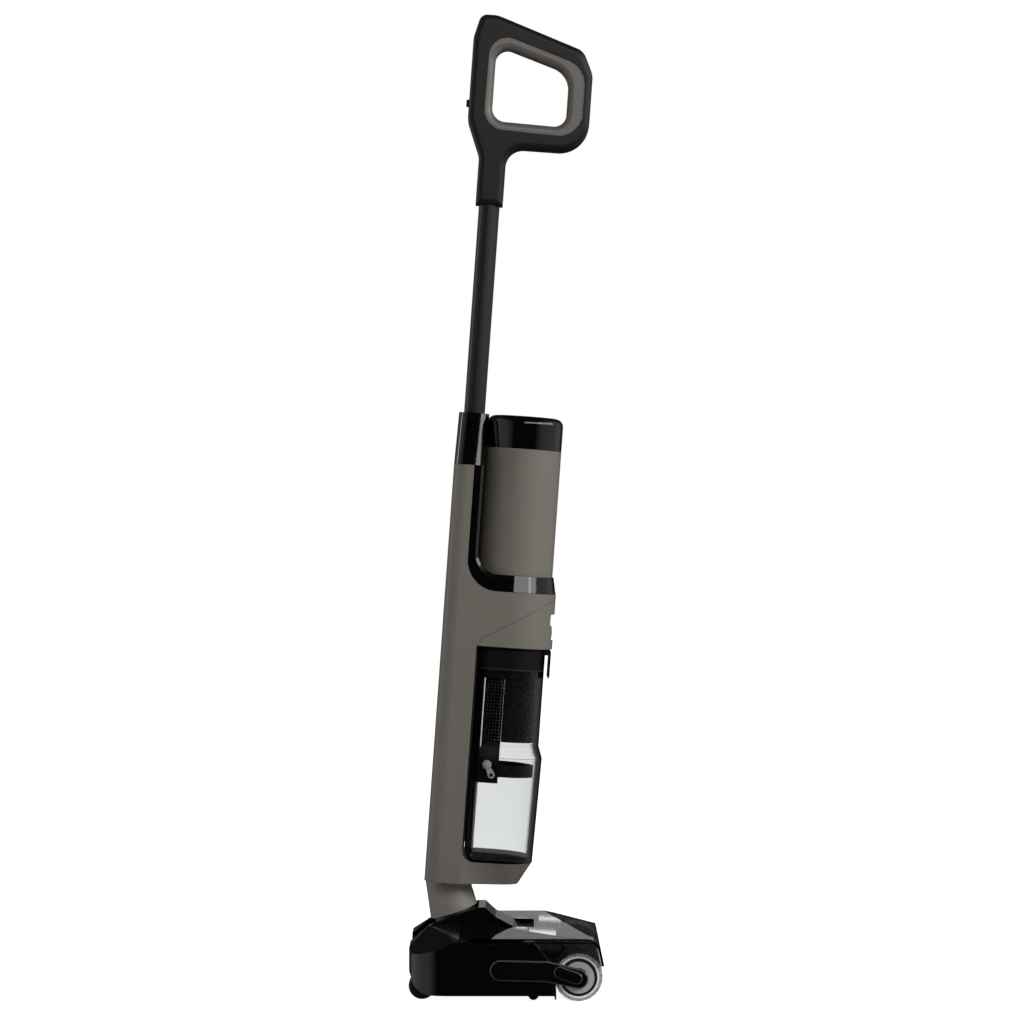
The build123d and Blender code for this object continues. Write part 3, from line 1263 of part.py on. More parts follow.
with BuildPart() as head_base:
    add(base_form(0))
    add(base_cavity.part, mode=Mode.SUBTRACT)
    with BuildSketch(Plane.XZ.offset(PILLAR_IN)):
        with Locations((PIVOT_X, (GROUND_GAP + PILLAR_TOP) / 2)):
            Rectangle(PILLAR_LENGTH, PILLAR_TOP - GROUND_GAP)
    extrude(amount=PIVOT_PIN_OUT - PILLAR_IN)
    with BuildSketch(Plane.XZ.offset(-PIVOT_PIN_OUT)):
        with Locations((PIVOT_X, (GROUND_GAP + PILLAR_TOP) / 2)):
            Rectangle(PILLAR_LENGTH, PILLAR_TOP - GROUND_GAP)
    extrude(amount=PIVOT_PIN_OUT - PILLAR_IN)
    with BuildSketch(Plane.XZ):
        with Locations((PIVOT_X, PIVOT_Z)):
            Circle(PIVOT_PIN_R + FIT)
    extrude(amount=PIVOT_PIN_OUT, both=True, mode=Mode.SUBTRACT)
    with BuildSketch(Plane.XZ.offset(-HEAD_HALF)):
        with Locations(ROLL_AT):
            Circle(HUB_CASE_R)
        with Locations(MOTOR_AT):
            Circle(MOTOR_CASE_R)
        make_hull()
    extrude(amount=HEAD_HALF - DRIVE_IN)
    with BuildSketch(Plane.XZ.offset(-HEAD_HALF)):
        with Locations(ROLL_AT):
            Circle(HUB_CASE_R - CASE_WALL)
        with Locations(MOTOR_AT):
            Circle(MOTOR_CASE_R - CASE_WALL)
        make_hull()
    extrude(amount=HEAD_HALF - DRIVE_IN - HEAD_WALL, mode=Mode.SUBTRACT)
    with BuildSketch(Plane.XZ.offset(-DRIVE_IN - HEAD_WALL)):
        with Locations(ROLL_AT):
            Circle(HUB_SHAFT_R + FIT)
        with Locations(MOTOR_AT):
            Circle(HUB_SHAFT_R)
    extrude(amount=HEAD_WALL, mode=Mode.SUBTRACT)
    with BuildSketch(Plane.XZ.offset(-DRIVE_IN)):
        with Locations(ROLL_AT):
            Circle(ROLL_ROOM_R)
    extrude(amount=DRIVE_IN + HEAD_HALF, mode=Mode.SUBTRACT)
    with BuildSketch(Plane.XZ):
        with Locations((ROLL_X - ROLL_ROOM_R, (PORT_LOW + PORT_HIGH) / 2)):
            Rectangle(ROLL_ROOM_R, PORT_HIGH - PORT_LOW)
    extrude(amount=PORT_HALF, both=True, mode=Mode.SUBTRACT)
    with BuildSketch(Plane.XY.offset(SLOT_SILL)):
        with Locations((HEAD_REAR, 0)):
            Rectangle(2 * (SLOT_FRONT - HEAD_REAR), 2 * SLOT_HALF)
    extrude(amount=PILLAR_TOP, mode=Mode.SUBTRACT)
    for side in (-WHEEL_IN - WHEEL_WIDTH / 2, WHEEL_IN + WHEEL_WIDTH / 2):
        with BuildSketch(Plane.XZ.offset(side - WHEEL_WIDTH / 2 - 1)):
            with Locations((WHEEL_X, WHEEL_R)):
                Circle(WHEEL_R + 2.5)
            with Locations((WHEEL_X, 0)):
                Rectangle(2 * WHEEL_R + 5, 2 * WHEEL_R)
            with Locations((HEAD_REAR - WHEEL_R, WHEEL_R)):
                Rectangle(4 * WHEEL_R, 2 * WHEEL_R + 5)
        extrude(amount=WHEEL_WIDTH + 2, mode=Mode.SUBTRACT)
        with BuildSketch(Plane.XZ.offset(side - WHEEL_WIDTH / 2 - 4.5)):
            with Locations((WHEEL_X, WHEEL_R)):
                Circle(AXLE_R)
        extrude(amount=WHEEL_WIDTH + 9, mode=Mode.SUBTRACT)
    for side in (-ROLLER_IN - ROLLER_WIDTH / 2, ROLLER_IN + ROLLER_WIDTH / 2):
        with BuildSketch(Plane.XZ.offset(side - ROLLER_WIDTH / 2 - 1 - EAR)):
            with Locations((ROLLER_X, ROLLER_R)):
                Circle(STUB_R + EAR / 2)
            with Locations((ROLLER_X, GROUND_GAP + EAR / 2)):
                Rectangle(2 * ROLLER_R, EAR)
            make_hull()
        extrude(amount=ROLLER_WIDTH + 2 + 2 * EAR)
        with BuildSketch(Plane.XY):
            with Locations((ROLLER_X, -side)):
                Rectangle(2 * ROLLER_R + 3, ROLLER_WIDTH + 2)
        extrude(amount=2 * ROLLER_R + 1.5, mode=Mode.SUBTRACT)
        with BuildSketch(Plane.XZ.offset(side - ROLLER_WIDTH / 2 - EAR)):
            with Locations((ROLLER_X, ROLLER_R)):
                Circle(STUB_R + FIT)
        extrude(amount=ROLLER_WIDTH + 2 * EAR, mode=Mode.SUBTRACT)
    with BuildSketch(Plane.XY):
        with Locations(*HEAD_SCREWS):
            Circle(SCREW_R)
    extrude(amount=PARTING, mode=Mode.SUBTRACT)
    with BuildSketch(Plane.XY):
        with Locations(*HEAD_SCREWS):
            Circle(SCREW_HEAD_R + GAP)
    extrude(amount=GROUND_GAP + SCREW_HEAD + 1, mode=Mode.SUBTRACT)
write(head_base, "head_base")

# Upper shell: raised block at the rear, side walls, deck under the clear cover, cowl at the neck
BLOCK_FRONT = -52.0
BLOCK_TOP = 74.0
BLOCK_RISE = 21.0
BLOCK_EDGE = 56.0
SHOULDER_EDGE = 67.0
SHOULDER = 7.0
COVER_SEAT = 66.0
CHEEK_TOP_X = 31.9
CHEEK_LOW = (48.7, 46.3)
DECK = 56.0
DECK_FRONT = 61.0
COWL_HALF = 34.0
COWL_TOP = 94.5
COWL_PLAY = 1.4
COWL_ROUND = 2.0


def slope(first, second, third, depth):
    """Plane through three points, facing up and sunk by a depth."""
    facing = (Vector(second) - Vector(first)).cross(Vector(third) - Vector(first))
    return Plane(first, z_dir=facing if facing.Z > 0 else -facing).offset(-depth)


def block_form(inset):
    """Raised rear of the head with hipped corners, or drawn inwards by a wall, open below."""
    with BuildPart() as form:
        with BuildSketch(Plane.XZ):
            Polygon(
                (HEAD_REAR + inset, PARTING),
                (BLOCK_FRONT - inset, PARTING),
                (BLOCK_FRONT - inset, BLOCK_TOP - inset),
                (HEAD_REAR + BLOCK_RISE, BLOCK_TOP - inset),
                (HEAD_REAR + inset, BLOCK_EDGE - inset / 2),
                align=None,
            )
        extrude(amount=HEAD_HALF, both=True)
        with BuildSketch(Plane.YZ.offset(HEAD_REAR)):
            Polygon(
                (inset - HEAD_HALF, PARTING),
                (HEAD_HALF - inset, PARTING),
                (HEAD_HALF - inset, SHOULDER_EDGE - inset / 2),
                (HEAD_HALF - SHOULDER, BLOCK_TOP - SHOULDER / 2 - inset),
                (COWL_HALF + 2, BLOCK_TOP - inset),
                (-COWL_HALF - 2, BLOCK_TOP - inset),
                (SHOULDER - HEAD_HALF, BLOCK_TOP - SHOULDER / 2 - inset),
                (inset - HEAD_HALF, SHOULDER_EDGE - inset / 2),
                align=None,
            )
        extrude(amount=BLOCK_FRONT - HEAD_REAR, mode=Mode.INTERSECT)
        with BuildSketch(Plane.XY.offset(PARTING)) as plan:
            head_plan(plan, inset, BLOCK_FRONT)
        extrude(amount=BLOCK_TOP, mode=Mode.INTERSECT)
        for side in (1, -1):
            rear = (HEAD_REAR, side * (HEAD_HALF - HEAD_CORNER), BLOCK_EDGE - 2)
            flank = (HEAD_REAR + HEAD_CORNER, side * HEAD_HALF, SHOULDER_EDGE - 3)
            crest = (HEAD_REAR + BLOCK_RISE, side * (COWL_HALF + 2), BLOCK_TOP)
            split(bisect_by=slope(rear, flank, crest, inset), keep=Keep.BOTTOM)
    return form.part


COWL_INNER = [NECK_LINE.from_local_coords((NECK_RIM_R + COWL_PLAY, 0, along)) for along in (2.5, 42.0)]

with BuildPart() as slot_walls:
    with BuildSketch(Plane.XZ.offset(SLOT_HALF)):
        Polygon(
            (HEAD_REAR, PARTING),
            (SLOT_FRONT, PARTING),
            (SLOT_FRONT, COWL_TOP - 8),
            (COWL_INNER[1].X, COWL_TOP),
            (PIVOT_X, COWL_TOP - 5),
            (PIVOT_X - 14, COWL_TOP - 10.5),
            (HEAD_REAR + BLOCK_RISE, BLOCK_TOP),
            (HEAD_REAR, BLOCK_EDGE),
            align=None,
        )
    extrude(amount=COWL_HALF - SLOT_HALF)
    mirror(about=Plane.XZ)

with BuildPart() as block_posts:
    with BuildSketch(Plane.XY.offset(PARTING)):
        with Locations(*HEAD_SCREWS[:2]):
            Circle(POST_WIDE)
    extrude(amount=BLOCK_TOP - PARTING)
    add(block_form(HEAD_WALL / 2), mode=Mode.INTERSECT)
    with BuildSketch(Plane.XY.offset(PARTING)):
        with Locations(*HEAD_SCREWS[2:]):
            Circle(POST_WIDE)
    extrude(amount=DECK - PARTING + 1)

with BuildPart() as head_top:
    add(block_form(0))
    add(block_form(HEAD_WALL), mode=Mode.SUBTRACT)
    with BuildSketch(Plane.XZ):
        Polygon(
            (BLOCK_FRONT - HEAD_WALL, PARTING),
            (BASE_FRONT, PARTING),
            CHEEK_LOW,
            (CHEEK_TOP_X, COVER_SEAT),
            (BLOCK_FRONT - HEAD_WALL, COVER_SEAT),
            align=None,
        )
    extrude(amount=HEAD_HALF, both=True)
    with BuildSketch(Plane.XZ):
        Polygon(
            (BLOCK_FRONT - HEAD_WALL, PARTING),
            (BASE_FRONT, PARTING),
            (BASE_FRONT, COVER_SEAT),
            (BLOCK_FRONT - HEAD_WALL, COVER_SEAT),
            align=None,
        )
    extrude(amount=HEAD_HALF - HEAD_WALL, both=True, mode=Mode.SUBTRACT)
    with BuildSketch(Plane.XY.offset(DECK)):
        with Locations(((BLOCK_FRONT - HEAD_WALL + DECK_FRONT) / 2, 0)):
            Rectangle(DECK_FRONT - BLOCK_FRONT + HEAD_WALL, 2 * (HEAD_HALF - HEAD_WALL))
    extrude(amount=HEAD_WALL)
    with BuildSketch(Plane.XZ):
        with Locations(ROLL_AT):
            Circle(ROLL_ROOM_R + HEAD_WALL)
            Circle(ROLL_ROOM_R, mode=Mode.SUBTRACT)
        with Locations((DECK_FRONT - ROLL_X, DECK + HEAD_WALL - 50)):
            Rectangle(2 * ROLL_X, 100, mode=Mode.INTERSECT)
        with Locations((0, PARTING - 50)):
            Rectangle(4 * ROLL_X, 100, mode=Mode.SUBTRACT)
    extrude(amount=DRIVE_IN, both=True)
    with BuildSketch(Plane.XZ) as hump:
        Polygon(
            (COWL_INNER[0].X, COWL_INNER[0].Z),
            (30, DECK + 1),
            (8, BLOCK_TOP - 1),
            (-12, COWL_TOP - 11),
            (-24, COWL_TOP),
            (COWL_INNER[1].X, COWL_INNER[1].Z),
            align=None,
        )
        round_corner(hump, (-24, COWL_TOP), COWL_ROUND)
    extrude(amount=COWL_HALF, both=True)
    with BuildSketch(Plane.XY.offset(PARTING)):
        with Locations((HEAD_REAR, 0)):
            Rectangle(2 * (SLOT_FRONT - HEAD_REAR), 2 * SLOT_HALF)
    extrude(amount=COWL_TOP - 12 - PARTING, mode=Mode.SUBTRACT)
    add(slot_walls.part)
    add(block_posts.part)
    with BuildSketch(Plane.XZ):
        with Locations((PIVOT_X, PIVOT_Z)):
            Circle(PIVOT_PIN_R + 2)
    extrude(amount=PILLAR_IN, both=True, mode=Mode.SUBTRACT)
    with BuildSketch(Plane.XZ.offset(-HEAD_HALF - 1)):
        with Locations(ROLL_AT):
            Circle(HUB_CASE_R + GAP)
        with Locations(MOTOR_AT):
            Circle(MOTOR_CASE_R + GAP)
        make_hull()
    extrude(amount=HEAD_HALF + 1 - DRIVE_IN + GAP, mode=Mode.SUBTRACT)
    with BuildSketch(Plane.XY.offset(PARTING)):
        with Locations(*HEAD_SCREWS):
            Circle(SCREW_R)
    extrude(amount=HEAD_SCREW_TIP - PARTING, mode=Mode.SUBTRACT)
write(head_top, "head_top")

with BuildPart() as head_screws:
    with BuildSketch(Plane.XY.offset(GROUND_GAP + 1)):
        with Locations(*HEAD_SCREWS):
            Circle(SCREW_HEAD_R)
    extrude(amount=SCREW_HEAD)
    with BuildSketch(Plane.XY.offset(GROUND_GAP + 1 + SCREW_HEAD)):
        with Locations(*HEAD_SCREWS):
            Circle(SCREW_R)
    extrude(amount=HEAD_SCREW_TIP - GROUND_GAP - 1 - SCREW_HEAD)
write(head_screws, "head_screws")

# Clear cover over deck and roll, notched round the cowl, with cheeks at the sides
COVER_WALL = 2.5
COVER_REAR = BLOCK_FRONT + 0.5
COVER_NOSE = 109.0
COVER_LIP = 41.0
COVER_CROWN = 74.0
COVER_ROUND = 14.0
COVER_FALL = [
    (54.0, HEAD_HALF, COVER_CROWN - 6),
    (95.0, HEAD_HALF, COVER_CROWN - 16.5),
    (100.0, -HEAD_HALF, COVER_CROWN - 4),
]


def cover_form(inset):
    """Domed top that falls to the left front corner, or drawn inwards by its wall."""
    with BuildPart() as form:
        with BuildSketch(Plane.XZ) as side:
            Polygon(
                (COVER_REAR - inset, COVER_LIP - inset),
                (COVER_NOSE - inset, COVER_LIP - inset),
                (COVER_NOSE - 2 - inset, COVER_LIP + 10),
                (COVER_NOSE - 4.5 - inset, COVER_LIP + 19),
                (COVER_NOSE - 9 - inset, COVER_CROWN - 4 - inset),
                (COVER_REAR - inset, COVER_CROWN - inset),
                align=None,
            )
            round_corner(side, (COVER_NOSE - 9, COVER_CROWN - 4), COVER_ROUND - inset)
        extrude(amount=HEAD_HALF, both=True)
        with BuildSketch(Plane.YZ.offset(COVER_REAR - inset)) as across:
            Polygon(
                (inset - HEAD_HALF, 0),
                (HEAD_HALF - inset, 0),
                (HEAD_HALF - inset, COVER_SEAT + 1 - inset / 2),
                (HEAD_HALF - 7, COVER_CROWN - 3.5 - inset),
                (0, COVER_CROWN - inset),
                (7 - HEAD_HALF, COVER_CROWN - 3.5 - inset),
                (inset - HEAD_HALF, COVER_SEAT + 1 - inset / 2),
                align=None,
            )
        extrude(amount=COVER_NOSE - COVER_REAR, mode=Mode.INTERSECT)
        split(bisect_by=slope(*COVER_FALL, inset), keep=Keep.BOTTOM)
    return form.part


with BuildPart() as clear_cover:
    add(cover_form(0))
    add(cover_form(COVER_WALL), mode=Mode.SUBTRACT)
    with BuildSketch(Plane.XZ):
        Polygon(
            (COVER_REAR - 1, 0),
            (ROLL_X, 0),
            (ROLL_X, CHEEK_LOW[1] + 1),
            (CHEEK_LOW[0] + SEAM, CHEEK_LOW[1] + 1),
            (CHEEK_TOP_X + SEAM, COVER_SEAT + GAP),
            (COVER_REAR - 1, COVER_SEAT + GAP),
            align=None,
        )
        with Locations(ROLL_AT):
            Circle(ROLL_R + 0.7)
    extrude(amount=HEAD_HALF, both=True, mode=Mode.SUBTRACT)
    with BuildSketch(Plane.XY):
        with Locations((COVER_REAR, 0)):
            Rectangle(2 * (32 - COVER_REAR), 2 * (COWL_HALF + 1.5))
    extrude(amount=COVER_CROWN + 1, mode=Mode.SUBTRACT)
write(clear_cover, "clear_cover")

# Nozzle duct from the roll's room to the neck drum, spray bar with its hose, squeegee blade
DUCT_HALF = 22.0
DUCT_LOW = GROUND_GAP + HEAD_WALL + GAP
DUCT_HIGH = 33.0
BAR_R = 2.6
BAR_X = 66.0
BAR_HALF = HEAD_HALF - 40.0
BAR_FEET = 60.0
SPRAY_R = 2.5
SPRAY_SIDE = 12.0
BLADE = 2.0
BLADE_TIP = 0.6
BLADE_TOP = 11.0
BLADE_HALF = HEAD_HALF - 20.0

with BuildPart() as nozzle_duct:
    with BuildSketch(Plane.XZ):
        with Locations((ROLL_X / 2, (DUCT_LOW + DUCT_HIGH) / 2)):
            Rectangle(3 * ROLL_X, DUCT_HIGH - DUCT_LOW)
        with Locations(ROLL_AT):
            Circle(ROLL_ROOM_R + HEAD_WALL + GAP, mode=Mode.SUBTRACT)
        with Locations((PIVOT_X, PIVOT_Z)):
            Circle(YOKE_R + 3, mode=Mode.SUBTRACT)
        with Locations(((SLOT_FRONT + ROLL_X - ROLL_ROOM_R) / 2, (DUCT_LOW + DUCT_HIGH) / 2)):
            Rectangle(ROLL_X - ROLL_ROOM_R - SLOT_FRONT + 12, DUCT_HIGH, mode=Mode.INTERSECT)
    extrude(amount=DUCT_HALF, both=True)
    with BuildSketch(Plane.XZ):
        with Locations((ROLL_X / 2, (DUCT_LOW + DUCT_HIGH) / 2)):
            Rectangle(3 * ROLL_X, DUCT_HIGH - DUCT_LOW - 4)
    extrude(amount=DUCT_HALF - 2, both=True, mode=Mode.SUBTRACT)
write(nozzle_duct, "nozzle_duct")

with BuildPart() as spray_bar:
    with BuildSketch(Plane.XZ):
        with Locations((BAR_X, DECK + HEAD_WALL + BAR_R - 0.5)):
            Circle(BAR_R)
    extrude(amount=BAR_HALF, both=True)
    with BuildSketch(Plane.XY.offset(DECK + HEAD_WALL)):
        with Locations((BAR_X - 6, 0)):
            with GridLocations(0, BAR_FEET, 1, 3):
                Rectangle(12, 10)
    extrude(amount=BAR_R)
    with BuildSketch(Plane.XZ):
        with Locations((BAR_X, DECK + HEAD_WALL + BAR_R - 0.5)):
            Circle(BAR_R - 1.2)
    extrude(amount=BAR_HALF - 2, both=True, mode=Mode.SUBTRACT)
write(spray_bar, "spray_bar")

with BuildPart() as spray_hose:
    with BuildLine() as spray_path:
        FilletPolyline(
            (31, SPRAY_SIDE, DECK + HEAD_WALL + SPRAY_R + 0.1),
            (40, SPRAY_SIDE, DECK + HEAD_WALL + SPRAY_R + 0.1),
            (46, 0, DECK + HEAD_WALL + SPRAY_R + 0.1),
            (BAR_X - 12.1, 0, DECK + HEAD_WALL + SPRAY_R + 0.1),
            radius=5,
        )
    with BuildSketch(Plane.YZ.offset(31)):
        with Locations((SPRAY_SIDE, DECK + HEAD_WALL + SPRAY_R + 0.1)):
            Circle(SPRAY_R)
    sweep(path=spray_path.line)
write(spray_hose, "spray_hose")

with BuildPart() as squeegee:
    with BuildSketch(Plane.XZ):
        Polygon(
            (BASE_FRONT, BLADE_TIP + 2),
            (BASE_FRONT + BLADE / 2, BLADE_TIP),
            (BASE_FRONT + BLADE, BLADE_TIP),
            (BASE_FRONT + BLADE, BLADE_TOP),
            (BASE_FRONT, BLADE_TOP),
            align=None,
        )
    extrude(amount=BLADE_HALF, both=True)
write(squeegee, "squeegee")

# Brush drive: motor along the head, pulley on its shaft, belt, hub that turns the roll
MOTOR_R = 14.5
MOTOR_LENGTH = 68.0
MOTOR_SHAFT_R = 2.5
PULLEY_R = 7.0
HUB_R = 14.0
BELT = 1.5
BELT_PLAY = 0.2
BELT_IN = DRIVE_IN + HEAD_WALL + 2.0
BELT_OUT = BELT_IN + 7.0
PULLEY_IN = DRIVE_IN + HEAD_WALL + 1.0
PULLEY_OUT = BELT_OUT + 2.0
DOG_R = 9.0
DOG_LENGTH = 12.0
COVER_PLATE = 5.0

with BuildPart() as brush_motor:
    with BuildSketch(Plane.XZ.offset(-DRIVE_IN + GAP)):
        with Locations(MOTOR_AT):
            Circle(MOTOR_R)
    extrude(amount=MOTOR_LENGTH)
    with BuildSketch(Plane.XZ.offset(-DRIVE_IN + GAP)):
        with Locations(MOTOR_AT):
            Circle(MOTOR_SHAFT_R + FIT)
    extrude(amount=MOTOR_LENGTH / 4, mode=Mode.SUBTRACT)
write(brush_motor, "brush_motor")

with BuildPart() as motor_pulley:
    with BuildSketch(Plane.XZ.offset(-PULLEY_OUT)):
        with Locations(MOTOR_AT):
            Circle(PULLEY_R)
    extrude(amount=PULLEY_OUT - PULLEY_IN)
    with BuildSketch(Plane.XZ.offset(-PULLEY_OUT)):
        with Locations(MOTOR_AT):
            Circle(MOTOR_SHAFT_R)
    extrude(amount=PULLEY_OUT - DRIVE_IN + MOTOR_LENGTH / 5)
write(motor_pulley, "motor_pulley")

with BuildPart() as drive_hub:
    with BuildSketch(Plane.XZ.offset(-PULLEY_OUT)):
        with Locations(ROLL_AT):
            Circle(HUB_R)
    extrude(amount=PULLEY_OUT - PULLEY_IN)
    with BuildSketch(Plane.XZ.offset(-PULLEY_IN)):
        with Locations(ROLL_AT):
            Circle(HUB_SHAFT_R)
    extrude(amount=PULLEY_IN - DRIVE_IN + GAP)
    with BuildSketch(Plane.XZ.offset(-DRIVE_IN + GAP)):
        with Locations(ROLL_AT):
            RegularPolygon(DOG_R, 6)
    extrude(amount=DOG_LENGTH)
write(drive_hub, "drive_hub")

with BuildPart() as drive_belt:
    with BuildSketch(Plane.XZ.offset(-BELT_OUT)):
        with Locations(ROLL_AT):
            Circle(HUB_R + BELT_PLAY + BELT)
        with Locations(MOTOR_AT):
            Circle(PULLEY_R + BELT_PLAY + BELT)
        make_hull()
    extrude(amount=BELT_OUT - BELT_IN)
    with BuildSketch(Plane.XZ.offset(-BELT_OUT)):
        with Locations(ROLL_AT):
            Circle(HUB_R + BELT_PLAY)
        with Locations(MOTOR_AT):
            Circle(PULLEY_R + BELT_PLAY)
        make_hull()
    extrude(amount=BELT_OUT - BELT_IN, mode=Mode.SUBTRACT)
write(drive_belt, "drive_belt")

with BuildPart() as belt_cover:
    with BuildSketch(Plane.XZ.offset(-HEAD_HALF - GAP - COVER_PLATE)):
        with Locations(ROLL_AT):
            Circle(HUB_CASE_R)
        with Locations(MOTOR_AT):
            Circle(MOTOR_CASE_R)
        make_hull()
    extrude(amount=COVER_PLATE)
    chamfer(belt_cover.faces().sort_by(Axis.Y)[-1].edges(), 2)
write(belt_cover, "belt_cover")

# Wheels: two at the rear on fixed axles, two small rollers with their own stubs in front
for side, name in ((-WHEEL_IN - WHEEL_WIDTH / 2, "left"), (WHEEL_IN + WHEEL_WIDTH / 2, "right")):
    with BuildPart() as wheel:
        with BuildSketch(Plane.XZ.offset(side - WHEEL_WIDTH / 2)):
            with Locations((WHEEL_X, WHEEL_R)):
                Circle(WHEEL_R)
        extrude(amount=WHEEL_WIDTH)
        chamfer(wheel.edges().filter_by(GeomType.CIRCLE), 1.5)
        with BuildSketch(Plane.XZ.offset(side - WHEEL_WIDTH / 2)):
            with Locations((WHEEL_X, WHEEL_R)):
                Circle(AXLE_R + FIT)
        extrude(amount=WHEEL_WIDTH, mode=Mode.SUBTRACT)
    write(wheel, f"rear_wheel_{name}")

with BuildPart() as wheel_axles:
    for side in (-WHEEL_IN - WHEEL_WIDTH / 2, WHEEL_IN + WHEEL_WIDTH / 2):
        with BuildSketch(Plane.XZ.offset(side - WHEEL_WIDTH / 2 - 4)):
            with Locations((WHEEL_X, WHEEL_R)):
                Circle(AXLE_R)
        extrude(amount=WHEEL_WIDTH + 8)
write(wheel_axles, "wheel_axles")

for side, name in ((-ROLLER_IN - ROLLER_WIDTH / 2, "left"), (ROLLER_IN + ROLLER_WIDTH / 2, "right")):
    with BuildPart() as roller:
        with BuildSketch(Plane.XZ.offset(side - ROLLER_WIDTH / 2)):
            with Locations((ROLLER_X, ROLLER_R)):
                Circle(ROLLER_R)
        extrude(amount=ROLLER_WIDTH)
        with BuildSketch(Plane.XZ.offset(side - ROLLER_WIDTH / 2 - 2.5)):
            with Locations((ROLLER_X, ROLLER_R)):
                Circle(STUB_R)
        extrude(amount=ROLLER_WIDTH + 5)
    write(roller, f"roller_{name}")

# Brush roll: core with a socket for the hub, end cap, pile, and the side arm that carries it
CORE_R = 19.6
CORE_WALL = 3.6
ROLL_RIGHT = HEAD_HALF - 10.0
ROLL_LEFT = DRIVE_IN - 2.0
PILE_LEFT = ROLL_LEFT - 2.0
SOCKET = 14.0
DOG_PLAY = 0.3
CAP_R = 17.5
CAP_FLANGE = 4.0
CAP_DEPTH = 6.0
STUB_AXLE_R = 5.0
ARM = 3.0
ARM_R = 11.5
ARM_END_R = 10.8
ARM_REAR = (-6.5, 36.7)
ARM_BEND = (46.0, 35.5)
ARM_BEVEL = 1.3
TAB = 2.0
TAB_BEVEL = 0.9
TAB_R = 6.5
TAB_AT = [(59.5, 35.0), (78.0, 28.4)]
arm_face = HEAD_HALF + GAP

with BuildPart() as roll_core:
    with BuildSketch(Plane.XZ.offset(-ROLL_LEFT)):
        with Locations(ROLL_AT):
            Circle(CORE_R)
            Circle(CORE_R - CORE_WALL, mode=Mode.SUBTRACT)
    extrude(amount=ROLL_LEFT + ROLL_RIGHT)
    with BuildSketch(Plane.XZ.offset(-ROLL_LEFT)):
        with Locations(ROLL_AT):
            Circle(CORE_R)
            RegularPolygon(DOG_R + DOG_PLAY, 6, mode=Mode.SUBTRACT)
    extrude(amount=SOCKET)
write(roll_core, "roll_core")

with BuildPart() as roll_end_cap:
    with BuildSketch(Plane.XZ.offset(ROLL_RIGHT)):
        with Locations(ROLL_AT):
            Circle(CAP_R)
    extrude(amount=CAP_FLANGE)
    with BuildSketch(Plane.XZ.offset(ROLL_RIGHT)):
        with Locations(ROLL_AT):
            Circle(CORE_R - CORE_WALL)
    extrude(amount=-CAP_DEPTH)
    with BuildSketch(Plane.XZ.offset(ROLL_RIGHT + CAP_FLANGE)):
        with Locations(ROLL_AT):
            Circle(STUB_AXLE_R + FIT)
    extrude(amount=-CAP_FLANGE - CAP_DEPTH, mode=Mode.SUBTRACT)
write(roll_end_cap, "roll_end_cap")

with BuildPart() as roll_pile:
    with BuildSketch(Plane.XZ.offset(-PILE_LEFT)):
        with Locations(ROLL_AT):
            Circle(ROLL_R)
            Circle(CORE_R, mode=Mode.SUBTRACT)
    extrude(amount=PILE_LEFT + ROLL_RIGHT)
write(roll_pile, "roll_pile")

with BuildPart() as roll_arm:
    with BuildSketch(Plane.XZ.offset(arm_face)):
        with Locations(ARM_REAR, ARM_BEND):
            Circle(ARM_R)
        make_hull()
    extrude(amount=ARM)
    with BuildSketch(Plane.XZ.offset(arm_face)):
        with Locations(ARM_BEND):
            Circle(ARM_R)
        with Locations(ROLL_AT):
            Circle(ARM_END_R)
        make_hull()
    extrude(amount=ARM)
    chamfer(roll_arm.faces().sort_by(Axis.Y)[0].edges(), ARM_BEVEL)
    with BuildSketch(Plane.XZ.offset(arm_face + ARM)):
        with Locations(*TAB_AT):
            Circle(TAB_R)
        make_hull()
    extrude(amount=TAB)
    chamfer(roll_arm.faces().sort_by(Axis.Y)[0].edges(), TAB_BEVEL)
    with BuildSketch(Plane.XZ.offset(arm_face)):
        with Locations(ROLL_AT):
            Circle(ARM_END_R - 1)
    extrude(amount=ROLL_RIGHT + CAP_FLANGE + GAP - arm_face)
    with BuildSketch(Plane.XZ.offset(arm_face)):
        with Locations(ROLL_AT):
            Circle(STUB_AXLE_R)
    extrude(amount=ROLL_RIGHT - CAP_DEPTH - arm_face)
write(roll_arm, "roll_arm")
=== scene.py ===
import math
import random

import bmesh
import bpy
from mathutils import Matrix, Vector


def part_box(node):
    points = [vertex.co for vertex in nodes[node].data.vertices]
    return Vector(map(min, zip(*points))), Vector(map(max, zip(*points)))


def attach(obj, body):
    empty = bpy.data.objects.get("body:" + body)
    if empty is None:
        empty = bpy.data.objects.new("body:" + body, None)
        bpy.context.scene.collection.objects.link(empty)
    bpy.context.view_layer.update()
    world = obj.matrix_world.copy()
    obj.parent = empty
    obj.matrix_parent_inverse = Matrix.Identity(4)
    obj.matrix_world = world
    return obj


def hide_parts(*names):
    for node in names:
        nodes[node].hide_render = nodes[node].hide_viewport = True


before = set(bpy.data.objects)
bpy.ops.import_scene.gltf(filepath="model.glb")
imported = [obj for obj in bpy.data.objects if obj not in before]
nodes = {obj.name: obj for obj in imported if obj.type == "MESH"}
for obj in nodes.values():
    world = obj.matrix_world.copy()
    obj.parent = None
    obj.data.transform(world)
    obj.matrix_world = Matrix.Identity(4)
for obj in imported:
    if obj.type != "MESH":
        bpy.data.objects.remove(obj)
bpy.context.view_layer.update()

# Head housing: a lower tray and an upper shell with a raised cowl round the neck.
# Both are injection-moulded in black ABS from polished moulds.
# Steel screws driven in from below hold the two together.


def linear(hex_colour):
    """sRGB hex value as a linear colour with alpha."""
    channels = [int(hex_colour[i:i + 2], 16) / 255 for i in (0, 2, 4)]
    return [c / 12.92 if c <= 0.04045 else ((c + 0.055) / 1.055) ** 2.4 for c in channels] + [1.0]


